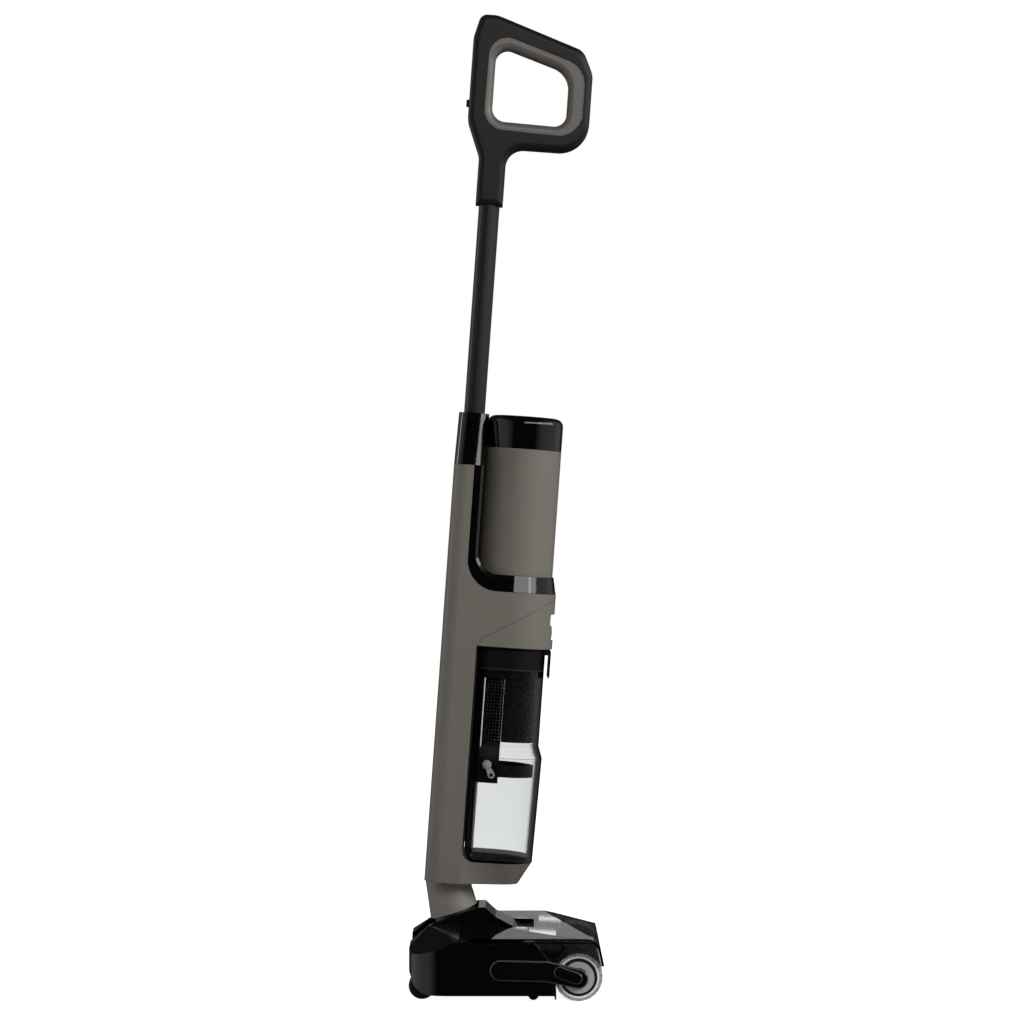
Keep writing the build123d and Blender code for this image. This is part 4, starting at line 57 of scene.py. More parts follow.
def add(tree, kind, sockets=None, **settings):
    """Adds a node with its settings; a socket takes a value or another node's output.

    A Mix has its share at socket 0. Its two colours are 6 and 7, its two plain values 2 and 3.
    """
    made = tree.nodes.new(kind)
    for name, value in settings.items():
        setattr(made, name, value)
    for name, value in (sockets or {}).items():
        if isinstance(value, bpy.types.NodeSocket):
            tree.links.new(value, made.inputs[name])
        else:
            made.inputs[name].default_value = value
    return made


def blank(name):
    """A new material with only its output node."""
    made = bpy.data.materials.new(name)
    made.use_nodes = True
    made.node_tree.nodes.clear()
    return made, made.node_tree, made.node_tree.nodes.new("ShaderNodeOutputMaterial")


def moulded(name, colour, roughness, grain_mm, relief_mm, ior=1.53, sheen=0.5, uneven=0.03):
    """Moulded plastic: a mould grain that varies the gloss, a slow drift of shade, eased edges.

    The IOR is that of ABS unless a call says otherwise.
    """
    drift_mm, drift_share, edge_mm = 90, 0.07, 0.5
    noise_low, noise_high = 0.3, 0.7
    made, tree, output = blank(name)
    place = add(tree, "ShaderNodeTexCoord").outputs["Object"]
    grain = add(tree, "ShaderNodeTexNoise", {
        "Vector": place, "Scale": 1000 / grain_mm, "Detail": 3.0})
    drift = add(tree, "ShaderNodeTexNoise", {
        "Vector": place, "Scale": 1000 / drift_mm, "Detail": 2.0})
    darker, lighter = (
        [c * share for c in linear(colour)[:3]] + [1.0]
        for share in (1 - drift_share, 1 + drift_share))
    shade = add(tree, "ShaderNodeMix", {0: drift.outputs[0], 6: darker, 7: lighter},
                data_type="RGBA")
    gloss = add(tree, "ShaderNodeMapRange", {
        "Value": grain.outputs[0], "From Min": noise_low, "From Max": noise_high,
        "To Min": max(roughness - uneven, 0.01), "To Max": roughness + uneven})
    eased = add(tree, "ShaderNodeBevel", {"Radius": edge_mm / 1000}, samples=4)
    relief = add(tree, "ShaderNodeBump", {
        "Height": grain.outputs[0], "Distance": relief_mm / 1000, "Strength": 1.0,
        "Normal": eased.outputs[0]})
    shader = add(tree, "ShaderNodeBsdfPrincipled", {
        "Base Color": shade.outputs[2], "Roughness": gloss.outputs[0] if uneven else roughness,
        "Normal": relief.outputs[0], "IOR": ior, "Specular IOR Level": sheen})
    tree.links.new(shader.outputs[0], output.inputs[0])
    return made


def shader_of(material):
    """The shader that carries a material's colour."""
    return next(node for node in material.node_tree.nodes if node.type == "BSDF_PRINCIPLED")


def finish(material, *names):
    """Gives CAD nodes a finish."""
    for name in names:
        mesh = nodes[name].data
        mesh.materials.clear()
        mesh.materials.append(material)


# Polished ABS is a deep black that takes clean reflections.
# The faint 6 mm ripple is what a large moulded wall keeps when it has cooled.
black_abs = moulded("polished black ABS", "030304", roughness=0.16, grain_mm=6.0, relief_mm=0.003)
finish(black_abs, "head_top", "head_base")

# Zinc plating is a bright cool grey with soft reflections. As a metal it keeps the default IOR.
# Its crystals are far too fine to show and are drawn 0.3 mm wide.
plated_steel = moulded("zinc-plated steel", "b9bbbf", roughness=0.32, grain_mm=0.3,
                       relief_mm=0.004, ior=1.5)
shader_of(plated_steel).inputs["Metallic"].default_value = 1.0
finish(plated_steel, "head_screws")

# Roll drive: a motor along the head, a pulley on its shaft, a toothed belt and the roll's hub.
# Pulley, hub and the plate that closes the left side are black ABS, the belt is neoprene.

# A spark-eroded mould gives a dark, even, dull skin without clear reflections.
# Its grain is about 0.1 mm wide and is drawn at 0.7 mm so that it shows.
grained_abs = moulded("fine-grained black ABS", "121213", roughness=0.42, grain_mm=0.7,
                      relief_mm=0.012)
finish(grained_abs, "belt_cover", "drive_hub", "motor_pulley")

# Ground neoprene looks matt and almost black.
neoprene = moulded("black neoprene", "101010", roughness=0.62, grain_mm=0.5, relief_mm=0.02,
                   ior=1.52)
finish(neoprene, "drive_belt")
finish(plated_steel, "brush_motor")

# Water and suction in the head: a spray bar over the roll with its hose, and the suction nozzle.
# All three are polypropylene and are laid in before the upper shell closes over them.
# The nozzle is dyed black, bar and hose keep the plastic's own white.

# Polypropylene has a waxy skin: a black with a weak, soft sheen.
black_pp = moulded("black polypropylene", "0a0a0b", roughness=0.38, grain_mm=1.2, relief_mm=0.002,
                   ior=1.49, sheen=0.3)
finish(black_pp, "nozzle_duct")

# Without dye it is a milky white that shows bright through the smoked cover.
natural_pp = moulded("natural polypropylene", "e4e4e0", roughness=0.3, grain_mm=2.0,
                     relief_mm=0.004, ior=1.49)
finish(natural_pp, "spray_bar", "spray_hose")

# Squeegee, wheels and rollers: a wiper lip behind the roll, two rear wheels, two front rollers.
# Lip and treads are moulded in soft black rubber. The lip is pushed into a slot.
# The wheels turn on steel axles and the rollers on stubs of their own.

# Rubber swallows light: nearly matt, with a faint grain drawn at 0.6 mm, coarser than it is.
black_rubber = moulded("black nitrile rubber", "0e0e0e", roughness=0.68, grain_mm=0.6,
                       relief_mm=0.02, ior=1.52)
finish(black_rubber, "squeegee", "rear_wheel_left", "rear_wheel_right",
       "roller_left", "roller_right")
finish(plated_steel, "wheel_axles")

# Brush roll: a black core tube with a light end cap, in a sleeve of short plush pile.
# The pile is polyester yarn, light grey with darker yarns let in, sheared to one length.
# At the sleeve's ends its white binding and black backing show.
finish(grained_abs, "roll_core")
low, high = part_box("roll_pile")
core_low, core_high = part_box("roll_core")
roll_axis = (low + high) / 2
roll_r = (high.z - low.z) / 2
core_r = (core_high.z - core_low.z) / 2


def about_roll(tree):
    """Offset from the roll's axis, and the distance from it."""
    place = add(tree, "ShaderNodeTexCoord").outputs["Object"]
    offset = add(tree, "ShaderNodeVectorMath", {0: place, 1: roll_axis},
                 operation="SUBTRACT").outputs[0]
    flat = add(tree, "ShaderNodeVectorMath", {0: offset, 1: (1, 0, 1)},
               operation="MULTIPLY").outputs[0]
    return offset, add(tree, "ShaderNodeVectorMath", {0: flat}, operation="LENGTH").outputs["Value"]


def within(tree, reach, radius):
    """1 inside a radius and 0 outside it, with a narrow soft edge."""
    soft = 0.0002
    return add(tree, "ShaderNodeMapRange", {
        "Value": reach, "From Min": radius - soft, "From Max": radius + soft,
        "To Min": 1.0, "To Max": 0.0}).outputs[0]


def overlay(material, share, colour):
    """Lays a colour over a material's own, as far as the share says."""
    tree = material.node_tree
    base = shader_of(material).inputs["Base Color"]
    mixed = add(tree, "ShaderNodeMix", {
        0: share, 6: base.links[0].from_socket, 7: linear(colour)}, data_type="RGBA")
    tree.links.new(mixed.outputs[2], base)


# The cap is a pale satin grey, with a black boss in its middle.
BOSS_R = 0.0108
BOSS_BLACK = "0b0b0b"
light_pp = moulded("light grey polypropylene", "b3b3ae", roughness=0.36, grain_mm=0.9,
                   relief_mm=0.006, ior=1.49)
overlay(light_pp, within(light_pp.node_tree, about_roll(light_pp.node_tree)[1], BOSS_R), BOSS_BLACK)
finish(light_pp, "roll_end_cap")

# Real tufts stand about 1 mm apart. They are drawn 1.9 mm apart, so that the pile shows.
# Lengths are in metres, TUFT_LEAN is an angle and SCATTER a share of the pitch.
TUFT_PITCH = 0.0019
TUFT_HALF = 0.0009
TUFT_HEIGHT = 0.0013
TUFT_ROOT = 0.0004
TUFT_LEAN = 0.05
TUFT_SWAY = 0.0007
TUFT_CORNERS = 3
SCATTER = 0.35
SHEARED_OFF = 0.0006
DARK_SHARE = 0.12
PILE_SEED = 7
BED_R = roll_r - TUFT_HEIGHT
rows = int(2 * math.pi * BED_R / TUFT_PITCH)
columns = int((high.y - low.y) / TUFT_PITCH)


def turn_at(row):
    """Angle of a row of tufts round the roll."""
    return 2 * math.pi * row / rows


def along_at(column):
    """Place of a column of tufts along the roll."""
    return low.y + (high.y - low.y) * column / columns


def kept(along):
    """A place along the roll, held between its ends."""
    return min(max(along, low.y), high.y)


def on_roll(radius, turn, along):
    """A point at a distance and an angle from the roll's axis."""
    return Vector((
        roll_axis.x + radius * math.cos(turn), along, roll_axis.z + radius * math.sin(turn)))


def placed(name, shape):
    """Makes a built shape an object of the scene, its faces turned outwards."""
    shape.normal_update()
    bmesh.ops.recalc_face_normals(shape, faces=shape.faces)
    mesh = bpy.data.meshes.new(name)
    shape.to_mesh(mesh)
    shape.free()
    made = bpy.data.objects.new(name, mesh)
    bpy.context.scene.collection.objects.link(made)
    return made


draw = random.Random(PILE_SEED)
pile = bmesh.new()
yarn = pile.faces.layers.int.new("yarn")
outline = [(core_r, low.y)]
outline += [(BED_R, along_at(column)) for column in range(columns + 1)]
outline += [(core_r, high.y)]
rings = [
    [pile.verts.new(on_roll(radius, turn_at(row), along)) for row in range(rows)]
    for radius, along in outline
]
for ring, beside in zip(rings, rings[1:] + rings[:1]):
    for row in range(rows):
        after = (row + 1) % rows
        pile.faces.new((ring[row], beside[row], beside[after], ring[after]))
for column in range(columns):
    for row in range(rows):
        turn = turn_at(row + 0.5 + draw.uniform(-SCATTER, SCATTER))
        along = along_at(column + 0.5 + draw.uniform(-SCATTER, SCATTER))
        lean = draw.uniform(-TUFT_LEAN, TUFT_LEAN)
        sway = draw.uniform(-TUFT_SWAY, TUFT_SWAY)
        tip = on_roll(roll_r - draw.uniform(0.0, SHEARED_OFF), turn + lean, kept(along + sway))
        foot = on_roll(BED_R - TUFT_ROOT, turn, along)
        across = Vector((-math.sin(turn), 0, math.cos(turn)))
        spin = draw.uniform(0, 2 * math.pi)
        base = []
        for corner in range(TUFT_CORNERS):
            angle = spin + 2 * math.pi * corner / TUFT_CORNERS
            at = foot + across * TUFT_HALF * math.cos(angle)
            at.y = kept(at.y + TUFT_HALF * math.sin(angle))
            base.append(pile.verts.new(at))
        peak = pile.verts.new(tip)
        dark = int(draw.random() < DARK_SHARE)
        for corner in range(TUFT_CORNERS):
            side = pile.faces.new((base[corner], base[(corner + 1) % TUFT_CORNERS], peak))
            side[yarn] = dark
roll_plush = placed("roll_plush", pile)

# Sheared polyester is soft and matt, pale at its rim and mottled by strands of several greys.
# Strands are drawn 1.6 mm wide, coarser than they are, and run outwards at the ends.
YARN_LIGHT, YARN_MID, YARN_DARK = "c4c4c3", "7a7a79", "606061"
STRAND_MM = 1.6
STRAND_STRETCH = 0.2
STRAND_LOW, STRAND_HIGH = 0.38, 0.6
BINDING_R, BINDING_WHITE = 0.0232, "f4f4f2"
BACKING_R, BACKING_BLACK = 0.0211, "0b0b0b"
plush, tree, output = blank("polyester plush pile")
offset, reach = about_roll(tree)
apart = add(tree, "ShaderNodeSeparateXYZ", {0: offset}).outputs
turned = add(tree, "ShaderNodeMath", {0: apart["Z"], 1: apart["X"]}, operation="ARCTAN2")
around = add(tree, "ShaderNodeMath", {0: turned.outputs[0], 1: roll_r}, operation="MULTIPLY")
inwards = add(tree, "ShaderNodeMath", {0: reach, 1: STRAND_STRETCH}, operation="MULTIPLY")
laid = add(tree, "ShaderNodeCombineXYZ", {
    "X": around.outputs[0], "Y": apart["Y"], "Z": inwards.outputs[0]})
strand = add(tree, "ShaderNodeTexNoise", {
    "Vector": laid.outputs[0], "Scale": 1000 / STRAND_MM, "Detail": 3.0})
contrast = add(tree, "ShaderNodeMapRange", {
    "Value": strand.outputs[0], "From Min": STRAND_LOW, "From Max": STRAND_HIGH})
mottle = add(tree, "ShaderNodeMix", {
    0: contrast.outputs[0], 6: linear(YARN_MID), 7: linear(YARN_LIGHT)}, data_type="RGBA")
shader = add(tree, "ShaderNodeBsdfPrincipled", {
    "Base Color": mottle.outputs[2], "Roughness": 0.9, "Sheen Weight": 0.4, "Sheen Roughness": 0.4})
tree.links.new(shader.outputs[0], output.inputs[0])
overlay(plush, add(tree, "ShaderNodeAttribute", attribute_name="yarn").outputs["Fac"], YARN_DARK)
overlay(plush, within(tree, reach, BINDING_R), BINDING_WHITE)
overlay(plush, within(tree, reach, BACKING_R), BACKING_BLACK)
roll_plush.data.materials.append(plush)
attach(roll_plush, "brush_roll")
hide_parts("roll_pile")

# Side arm: the plate at the right end that carries the roll and is pulled out by its finger tab.
# It is moulded in black ABS with a polished face, and a grey highlight is painted on its bevel.

# A thin grey highlight is painted on the bevel. It is wherever the skin turns away from the side.
BEVEL_HIGHLIGHT_GREY = "48484a"
BEVEL_TURNED, FACE_SQUARE = 0.8, 0.9
arm_abs = moulded("black ABS with a painted bevel highlight", "060607", roughness=0.16, grain_mm=6.0,
                  relief_mm=0.003)
tree = arm_abs.node_tree
facing = add(tree, "ShaderNodeSeparateXYZ", {
    0: add(tree, "ShaderNodeTexCoord").outputs["Normal"]}).outputs
sideways = add(tree, "ShaderNodeMath", {0: facing["Y"]}, operation="ABSOLUTE")
bevel = add(tree, "ShaderNodeMapRange", {
    "Value": sideways.outputs[0], "From Min": BEVEL_TURNED, "From Max": FACE_SQUARE,
    "To Min": 1.0, "To Max": 0.0})
overlay(arm_abs, bevel.outputs[0], BEVEL_HIGHLIGHT_GREY)
finish(arm_abs, "roll_arm")

# Clear cover: a lift-off hood over the roll and the deck, so that the brush can be seen at work.
# It is one moulding of smoke-tinted polycarbonate, polished inside and out.


def clear(name, colour, edge, turned, roughness, ior, sheen, ripple_mm, relief_mm, shadow, tint,
          per_metre):
    """Clear moulded plastic, tinted in its depth, with a painted edge shade as it turns away.

    Lamps shine through it in the shadow colour, so what is behind it is lit.
    """
    turning = 0.13
    made, tree, output = blank(name)
    place = add(tree, "ShaderNodeTexCoord").outputs["Object"]
    ripple = add(tree, "ShaderNodeTexNoise", {
        "Vector": place, "Scale": 1000 / ripple_mm, "Detail": 1.0})
    relief = add(tree, "ShaderNodeBump", {
        "Height": ripple.outputs[0], "Distance": relief_mm / 1000, "Strength": 1.0})
    painted_edge_shade = add(tree, "ShaderNodeMapRange", {
        "Value": add(tree, "ShaderNodeLayerWeight", {"Blend": 0.5}).outputs["Facing"],
        "From Min": turned, "From Max": turned + turning, "To Min": 0.0, "To Max": 1.0})
    shade = add(tree, "ShaderNodeMix", {0: painted_edge_shade.outputs[0], 6: linear(colour), 7: linear(edge)},
                data_type="RGBA")
    shader = add(tree, "ShaderNodeBsdfPrincipled", {
        "Base Color": shade.outputs[2], "Roughness": roughness, "IOR": ior,
        "Transmission Weight": 1.0, "Specular Tint": (sheen, sheen, sheen, 1.0),
        "Normal": relief.outputs[0]})
    lamp = add(tree, "ShaderNodeLightPath").outputs["Is Shadow Ray"]
    through = add(tree, "ShaderNodeBsdfTransparent", {"Color": linear(shadow)})
    mixed = add(tree, "ShaderNodeMixShader", {
        0: lamp, 1: shader.outputs[0], 2: through.outputs[0]})
    tree.links.new(mixed.outputs[0], output.inputs["Surface"])
    depth = add(tree, "ShaderNodeVolumeAbsorption", {"Color": linear(tint), "Density": per_metre})
    tree.links.new(depth.outputs[0], output.inputs["Volume"])
    return made


# Smoked polycarbonate is grey glass to the eye: glossy, with a faint 14 mm flow ripple.
# Its slightly darker edge colour is a painted shade where the cover turns away from view.
smoked = clear(
    "smoke-tinted polycarbonate", colour="a6a7a9", edge="8a8b8d", turned=0.55, roughness=0.03,
    ior=1.58, sheen=0.5, ripple_mm=14, relief_mm=0.008, shadow="9a9b9c", tint="606162",
    per_metre=110)
finish(smoked, "clear_cover")

# Neck: a grey ABS sleeve on a black yoke, between the head and the body.
# The yoke swings on two steel pins in the head, and a steel ring keeps the body's swivel on it.

# Its mould is smoother than the body's, and its warm grey is painted lighter than the body's
# to make up for the shade it gets under the body. The grain is drawn coarser.
lightened_neck_abs = moulded("warm grey smooth ABS, painted lighter", "88827a", roughness=0.36, grain_mm=0.8,
                     relief_mm=0.006, sheen=0.45)
finish(lightened_neck_abs, "neck")
finish(grained_abs, "neck_yoke")
finish(plated_steel, "pivot_pins", "swivel_ring")

# Body: two half shells that part on the middle plane, and the motor cover between the tanks.
# They are moulded in warm grey ABS, and screws from the left pull the halves together.

# Satin ABS is an even warm grey with broad soft highlights.
# Its grain is drawn 0.8 mm wide, coarser than it is, so that it breaks up the sheen.
grey_abs = moulded("warm grey satin ABS", "736e66", roughness=0.44, grain_mm=0.8, relief_mm=0.008,
                   sheen=0.4)
finish(grey_abs, "body_shell_left", "body_shell_right", "motor_cover")
finish(plated_steel, "body_screws")

# Bay shade strips: two thin black sheets at the back of the dirty water tank's bay, painted shade
# that darkens the slit between tub and body. They lean with the body about the pivot in the head.
LEAN = math.radians(4.1)
PIVOT = Vector((-0.046, 0, 0.045))
SHADE_STRIP_BACK, SHADE_STRIP_FRONT = -0.0124, -0.0103
SHADE_STRIP_IN, SHADE_STRIP_OUT = 0.029, 0.037
SHADE_STRIP_LOW, SHADE_STRIP_HIGH = 0.117, 0.345
ahead = Vector((math.cos(LEAN), 0, -math.sin(LEAN)))
upward = Vector((math.sin(LEAN), 0, math.cos(LEAN)))


def slabs(name, *limits):
    """Flat pads set to the leaning body, each from back, front, right, left, low and high."""
    made = bmesh.new()
    for back, front, right, left, low_end, high_end in limits:
        corners = [
            made.verts.new(PIVOT + ahead * along + Vector((0, across, 0)) + upward * height)
            for height in (low_end, high_end)
            for along, across in ((back, right), (front, right), (front, left), (back, left))
        ]
        for face in ((0, 1, 2, 3), (7, 6, 5, 4), (0, 4, 5, 1), (1, 5, 6, 2), (2, 6, 7, 3),
                     (3, 7, 4, 0)):
            made.faces.new([corners[corner] for corner in face])
    return placed(name, made)


bay_shade_strips = slabs("bay_shade_strips", *(
    (SHADE_STRIP_BACK, SHADE_STRIP_FRONT, right, left, SHADE_STRIP_LOW, SHADE_STRIP_HIGH)
    for right, left in ((-SHADE_STRIP_OUT, -SHADE_STRIP_IN), (SHADE_STRIP_IN, SHADE_STRIP_OUT))))

# The sheets are dead matt black, painted shade that shows only as a black edge. Grain: 0.8 mm.
shade_strip_black = moulded("black sheet for painted shade", "0b0b0b", roughness=0.85, grain_mm=0.8, relief_mm=0.03,
                    ior=1.45)
bay_shade_strips.data.materials.append(shade_strip_black)
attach(bay_shade_strips, "main_body")

# Inside of the body: fan and motor, battery, pump, control board, suction duct and swivel bush.
# Housings and duct are moulded in black polypropylene and held between the two shells.
finish(black_pp, "fan_housing", "suction_duct", "battery_tray", "swivel_bush", "impeller")
finish(plated_steel, "fan_motor", "water_pump")
finish(black_rubber, "water_hose")

# Shrunk PVC sleeve is a smooth blue skin with small highlights.
cell_sleeve = moulded("blue PVC cell sleeve", "2f5f8f", roughness=0.35, grain_mm=2.0,
                      relief_mm=0.004, ior=1.54)
finish(cell_sleeve, "battery_cells")

# Solder mask is a glossy green lacquer over the weave of the board, drawn 1 mm wide.
board_green = moulded("green solder-masked board", "1d5a31", roughness=0.35, grain_mm=1.0,
                      relief_mm=0.01, ior=1.55)
finish(board_green, "control_board")

# Cradle: a collar round the wand's foot, a back wall and a cup that holds the clean water tank.
# It is one moulding of gloss black ABS, let in between the shells.
# The release button of the dirty water tank is of the same black.

# A mirror-polished mould gives piano black: hard, clear reflections on a slow 12 mm ripple.
piano_black = moulded("piano-black ABS", "040405", roughness=0.05, grain_mm=12.0, relief_mm=0.006,
                      uneven=0.015)
finish(piano_black, "cradle_liner", "release_button")

# Clean water tank: a round grey bottle that lifts out of the cup.
# It has a piano-black push-on cap with a rubber seal, and a valve in its floor.
finish(grey_abs, "clean_tank")
finish(piano_black, "tank_cap")
finish(black_rubber, "cap_seal")
finish(black_pp, "tank_valve")

# Dirty water tank: a clear tub, flat at the back and round in front, that slides out forward.
# It is moulded in styrene acrylonitrile, with a thick foot and thick rear corners.

# Clear styrene shows the white behind it.
# Where a wall is seen along its length, its colour is painted dark as shade.
clear_tub = clear(
    "clear styrene acrylonitrile", colour="f6f7f7", edge="060606", turned=0.42, roughness=0.02,
    ior=1.57, sheen=0.05, ripple_mm=30, relief_mm=0.01, shadow="e9ebeb", tint="9b9d9e",
    per_metre=135)

# Where the plastic is thick, below THICK_TOP and behind THICK_FRONT at the sides,
# its colour is painted dark as shade.
THICK_PAINTED_SHADE = "303131"
THICK_TOP, FOOT_DEPTH = 0.1100, 0.95
THICK_FRONT, THICK_SIDE, CORNER_DEPTH = -0.0015, 0.0310, 0.9
FADE = 0.0008
tree = clear_tub.node_tree
place = add(tree, "ShaderNodeTexCoord").outputs["Object"]
offset = add(tree, "ShaderNodeVectorMath", {0: place, 1: PIVOT}, operation="SUBTRACT").outputs[0]
across = add(tree, "ShaderNodeMath", {
    0: add(tree, "ShaderNodeSeparateXYZ", {0: offset}).outputs["Y"]}, operation="ABSOLUTE")
corner = add(tree, "ShaderNodeMapRange", {
    "Value": across.outputs[0], "From Min": THICK_SIDE - FADE, "From Max": THICK_SIDE,
    "To Min": 0.0, "To Max": CORNER_DEPTH})
for heading, edge, depth in (
    (upward, THICK_TOP, FOOT_DEPTH),
    (ahead, THICK_FRONT, corner.outputs[0]),
):
    along = add(tree, "ShaderNodeVectorMath", {0: offset, 1: heading}, operation="DOT_PRODUCT")
    thick = add(tree, "ShaderNodeMapRange", {
        "Value": along.outputs["Value"], "From Min": edge - FADE, "From Max": edge,
        "To Min": depth, "To Max": 0.0})
    overlay(clear_tub, thick.outputs[0], THICK_PAINTED_SHADE)
finish(clear_tub, "dirty_tank")

# Lid, strainer, filter and float: the lid closes the tub on a rubber seal and holds the filter.
# Lid and strainer are moulded in polypropylene, and the float swings on the strainer's pin.
# A white fleece hangs in the strainer, behind its holes.

# Left dull by its mould, the black shows next to no reflection through the clear wall.
dull_pp = moulded("dull black polypropylene", "060607", roughness=0.5, grain_mm=3.0,
                  relief_mm=0.001, ior=1.49, uneven=0.0, sheen=0.15)
finish(dull_pp, "tank_lid", "strainer")
finish(black_rubber, "lid_seal")

# Needled fleece is a matt white, seen as grey dots. Its fibres are drawn 0.5 mm wide.
FLEECE_BACK, FLEECE_FRONT = 0.0032, 0.0195
FLEECE_HALF = 0.001
FLEECE_LOW, FLEECE_HIGH = 0.234, 0.316
strainer_fleece = slabs("strainer_fleece", (
    FLEECE_BACK, FLEECE_FRONT, -FLEECE_HALF, FLEECE_HALF, FLEECE_LOW, FLEECE_HIGH))
fleece = moulded("white filter fleece", "f2f2f0", roughness=0.9, grain_mm=0.5, relief_mm=0.05,
                 ior=1.5)
strainer_fleece.data.materials.append(fleece)
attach(strainer_fleece, "dirty_tank")

# Filter paper is a matt cream. Its fibres are drawn 0.4 mm wide, coarser than they are.
filter_paper = moulded("pleated filter paper", "e6e4dc", roughness=0.85, grain_mm=0.4,
                       relief_mm=0.03, ior=1.5)
finish(filter_paper, "filter_ring")

# Foamed polypropylene is pale and dull, with fine pores drawn at 0.6 mm.
float_foam = moulded("light grey foamed polypropylene", "d4d4d2", roughness=0.6, grain_mm=0.6,
                     relief_mm=0.02, ior=1.49)
finish(float_foam, "float_arm")

# Wand: a drawn aluminium tube, powder-coated in charcoal, with the switch's wiring inside.
# Its foot stands in the collar of the cradle, and its top is gripped by the handle.

# Powder coat is a dark satin with a fine orange peel, drawn at 0.35 mm.
powder = moulded("charcoal powder coat", "1f1f20", roughness=0.36, grain_mm=0.35, relief_mm=0.012,
                 ior=1.52, sheen=0.25)
finish(powder, "wand_tube")
finish(black_rubber, "wand_wiring")

# Handle: a closed loop of two charcoal ABS half shells, screwed together round the wand.
# A grey ring lines the hand hole. The push button at the back works the switch board inside.

# Satin ABS in charcoal shows almost no highlight. Its grain is drawn coarser, at 0.8 mm.
charcoal_abs = moulded("charcoal satin ABS", "1c1c1d", roughness=0.38, grain_mm=0.8,
                       relief_mm=0.008, sheen=0.2)
finish(charcoal_abs, "handle_shell_left", "handle_shell_right")

# The ring is the body's warm grey painted darker, as shade in the hand hole, with a light rim.
darkened_ring_abs = moulded("warm grey ABS, painted darker", "655f59", roughness=0.32, grain_mm=0.6,
                   relief_mm=0.006, sheen=0.45)
finish(darkened_ring_abs, "handle_ring")
finish(black_rubber, "power_button")
finish(board_green, "switch_board")
finish(plated_steel, "handle_screws")

# Studio: a sheet of white paper under soft boxes, with a camera square to the machine's right side.
# White panels stand square to each side and the corners between them are dimmer.
# Clear plastic bends dim light from those corners into its edges, and painted shade adds to it.
PANEL_CORNER, PANEL_SQUARE = 0.71, 0.84
CORNER_LIGHT = 0.6


def straight_through(tree, path):
    """1 for a ray that has only passed through clear plastic, 0 for one that met a solid."""
    met = add(tree, "ShaderNodeMath", {0: path["Diffuse Depth"], 1: path["Glossy Depth"]},
              operation="ADD")
    clean = add(tree, "ShaderNodeMath", {0: met.outputs[0], 1: 0.5}, operation="LESS_THAN")
    return add(tree, "ShaderNodeMath", {0: path["Is Transmission Ray"], 1: clean.outputs[0]},
               operation="MULTIPLY").outputs[0]


def bright_field(tree, away):
    """Brightness of the studio behind clear plastic, by the direction away from the machine."""
    size = add(tree, "ShaderNodeVectorMath", {0: away}, operation="ABSOLUTE")
    flat = add(tree, "ShaderNodeVectorMath", {0: size.outputs[0], 1: (1, 1, 0)},
               operation="MULTIPLY")
    course = add(tree, "ShaderNodeVectorMath", {0: flat.outputs[0]}, operation="NORMALIZE")
    plan = add(tree, "ShaderNodeSeparateXYZ", {0: course.outputs[0]}).outputs
    square = add(tree, "ShaderNodeMath", {0: plan["X"], 1: plan["Y"]}, operation="MAXIMUM")
    return add(tree, "ShaderNodeMapRange", {
        "Value": square.outputs[0], "From Min": PANEL_CORNER, "From Max": PANEL_SQUARE,
        "To Min": CORNER_LIGHT, "To Max": 1.0}).outputs[0]


# The paper is matt and takes a soft shadow. To the camera it glows up to plain white.
FLOOR_HALF = 12.0
FLOOR_DROP = 0.0003
GLOW_NEAR, GLOW_FAR = 0.15, 1.0
GLOW_UNDER = 0.95
floor_mesh = bpy.data.meshes.new("studio_floor")
floor_corners = [
    (x * FLOOR_HALF, y * FLOOR_HALF, -FLOOR_DROP)
    for x, y in ((-1, -1), (1, -1), (1, 1), (-1, 1))
]
floor_mesh.from_pydata(floor_corners, [], [(0, 1, 2, 3)])
studio_floor = bpy.data.objects.new("studio_floor", floor_mesh)
bpy.context.scene.collection.objects.link(studio_floor)
studio_floor.visible_glossy = False
paper, tree, output = blank("white background paper")
path = add(tree, "ShaderNodeLightPath").outputs
place = add(tree, "ShaderNodeTexCoord").outputs["Object"]
reach = add(tree, "ShaderNodeVectorMath", {0: place}, operation="LENGTH").outputs["Value"]
glow = add(tree, "ShaderNodeMapRange", {
    "Value": reach, "From Min": GLOW_NEAR, "From Max": GLOW_FAR,
    "To Min": GLOW_UNDER, "To Max": 1.0})
through = add(tree, "ShaderNodeMath", {
    0: straight_through(tree, path), 1: bright_field(tree, place)}, operation="MULTIPLY")
seen = add(tree, "ShaderNodeMath", {0: path["Is Camera Ray"], 1: through.outputs[0]},
           operation="MAXIMUM")
shine = add(tree, "ShaderNodeMath", {0: glow.outputs[0], 1: seen.outputs[0]}, operation="MULTIPLY")
light = add(tree, "ShaderNodeEmission", {"Color": linear("ffffff"), "Strength": shine.outputs[0]})
matt = add(tree, "ShaderNodeBsdfDiffuse", {"Color": linear("eeeeee")})
both = add(tree, "ShaderNodeAddShader", {0: light.outputs[0], 1: matt.outputs[0]})
tree.links.new(both.outputs[0], output.inputs[0])
floor_mesh.materials.append(paper)

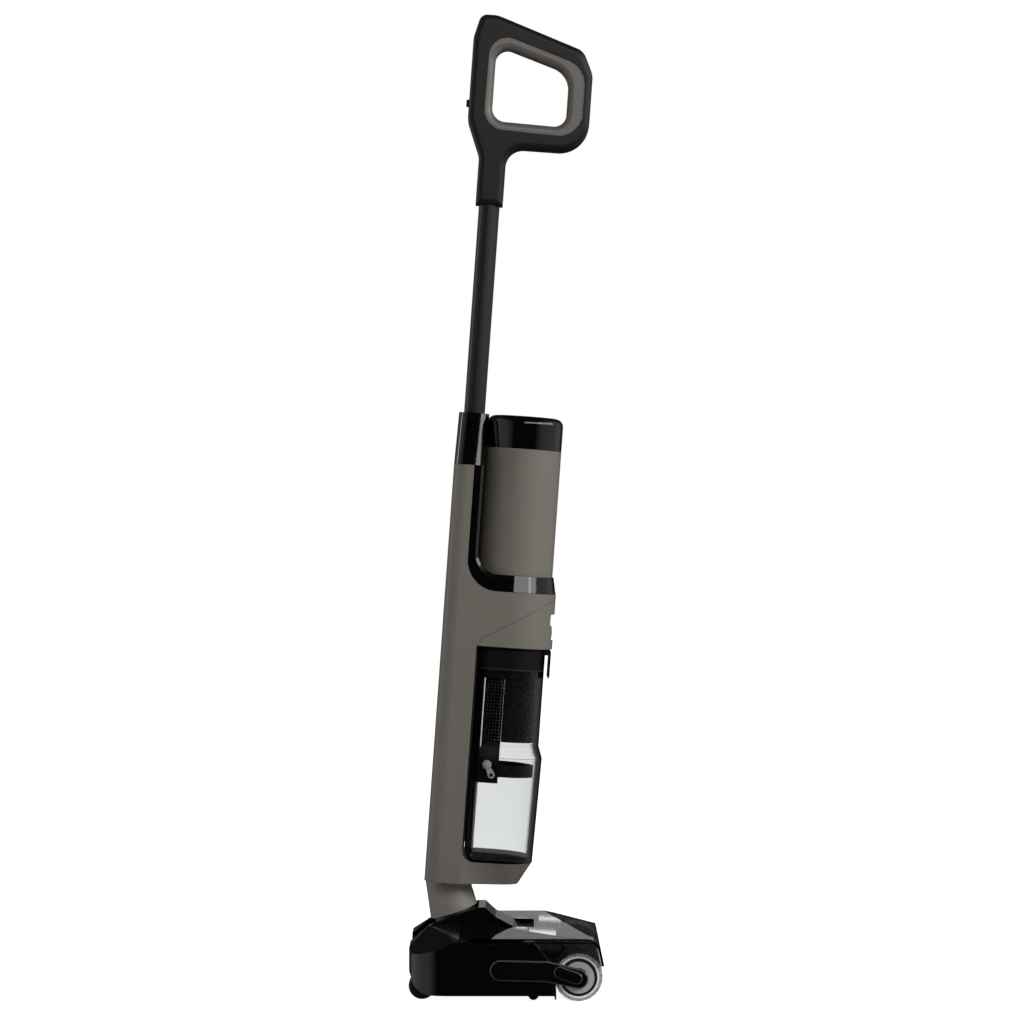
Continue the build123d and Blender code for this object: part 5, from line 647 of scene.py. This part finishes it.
# The room is white to the camera and dim to the machine. Gloss shows grey panels at the front
# and the rear, a dimmer one on the left, and black between them.
AMBIENT = 0.14
GLOSS_DARK, GLOSS_SIDE, GLOSS_REAR = 0.02, 0.5, 0.35
SIDE_FROM, SIDE_FULL = 0.55, 0.85
REAR_FROM, REAR_FULL = 0.9, 0.98
REAR_LOW, REAR_HIGH = 0.02, 0.08
world = bpy.data.worlds.new("studio")
bpy.context.scene.world = world
world.use_nodes = True
tree = world.node_tree
tree.nodes.clear()
path = add(tree, "ShaderNodeLightPath").outputs
ray = add(tree, "ShaderNodeTexCoord").outputs["Generated"]
heading = add(tree, "ShaderNodeSeparateXYZ", {0: ray}).outputs
aside = add(tree, "ShaderNodeMath", {0: heading["X"]}, operation="ABSOLUTE")
panels = add(tree, "ShaderNodeMapRange", {
    "Value": aside.outputs[0], "From Min": SIDE_FROM, "From Max": SIDE_FULL,
    "To Min": GLOSS_DARK, "To Max": GLOSS_SIDE})
behind = add(tree, "ShaderNodeMapRange", {
    "Value": heading["Y"], "From Min": REAR_FROM, "From Max": REAR_FULL,
    "To Min": 0.0, "To Max": GLOSS_REAR})
above = add(tree, "ShaderNodeMapRange", {
    "Value": heading["Z"], "From Min": REAR_LOW, "From Max": REAR_HIGH,
    "To Min": 0.0, "To Max": 1.0})
rear = add(tree, "ShaderNodeMath", {0: behind.outputs[0], 1: above.outputs[0]},
           operation="MULTIPLY")
gloss = add(tree, "ShaderNodeMath", {0: panels.outputs[0], 1: rear.outputs[0]},
            operation="MAXIMUM")
mirrored = add(tree, "ShaderNodeMix", {0: path["Is Glossy Ray"], 2: AMBIENT, 3: gloss.outputs[0]})
through = add(tree, "ShaderNodeMix", {
    0: straight_through(tree, path), 2: mirrored.outputs[0], 3: bright_field(tree, ray)})
strength = add(tree, "ShaderNodeMix", {0: path["Is Camera Ray"], 2: through.outputs[0], 3: 1.0})
sky = add(tree, "ShaderNodeBackground", {
    "Color": linear("ffffff"), "Strength": strength.outputs[0]})
tree.links.new(sky.outputs[0], add(tree, "ShaderNodeOutputWorld").inputs[0])

# Two soft boxes light the right side and the front, and a strip draws the rear edge.
# Three small kickers behind the machine only make glints in the smoked cover.
AIM = Vector((0.0, 0.0, 0.5))
for name, place, width, height, watts in (
    ("softbox_front", (1.74, -3.73, 2.33), 4.2, 1.6, 80),
    ("softbox_right", (3.92, -1.43, 2.19), 4.2, 1.6, 80),
    ("strip_left", (-2.2, 0.5, 0.8), 0.16, 1.7, 6),
    ("kicker_low", (0.0695, 1.5, 0.295), 0.044, 0.018, 0.0036),
    ("kicker_left", (0.0346, 1.5, 0.277), 0.018, 0.012, 0.0011),
    ("kicker_right", (0.0806, 1.5, 0.266), 0.037, 0.005, 0.0009),
):
    lamp = bpy.data.lights.new(name, "AREA")
    lamp.shape = "RECTANGLE"
    lamp.size = width
    lamp.size_y = height
    lamp.energy = watts
    holder = bpy.data.objects.new(name, lamp)
    holder.location = place
    holder.rotation_euler = (AIM - Vector(place)).to_track_quat("-Z", "Y").to_euler()
    holder.visible_transmission = False
    holder.visible_camera = False
    bpy.context.scene.collection.objects.link(holder)

VIEW_DISTANCE = 3.5
VIEW_WIDTH = 1.173
VIEW_AHEAD, VIEW_HEIGHT = 0.00437, 0.5468
view = bpy.data.cameras.new("side_view")
view.sensor_width = 36.0
view.lens = view.sensor_width * VIEW_DISTANCE / VIEW_WIDTH
camera = bpy.data.objects.new("side_view", view)
camera.location = (VIEW_AHEAD, -VIEW_DISTANCE, VIEW_HEIGHT)
camera.rotation_euler = (math.radians(90), 0, 0)
bpy.context.scene.collection.objects.link(camera)
bpy.context.scene.camera = camera
bpy.context.scene.view_settings.view_transform = "Standard"

bpy.context.view_layer.update()
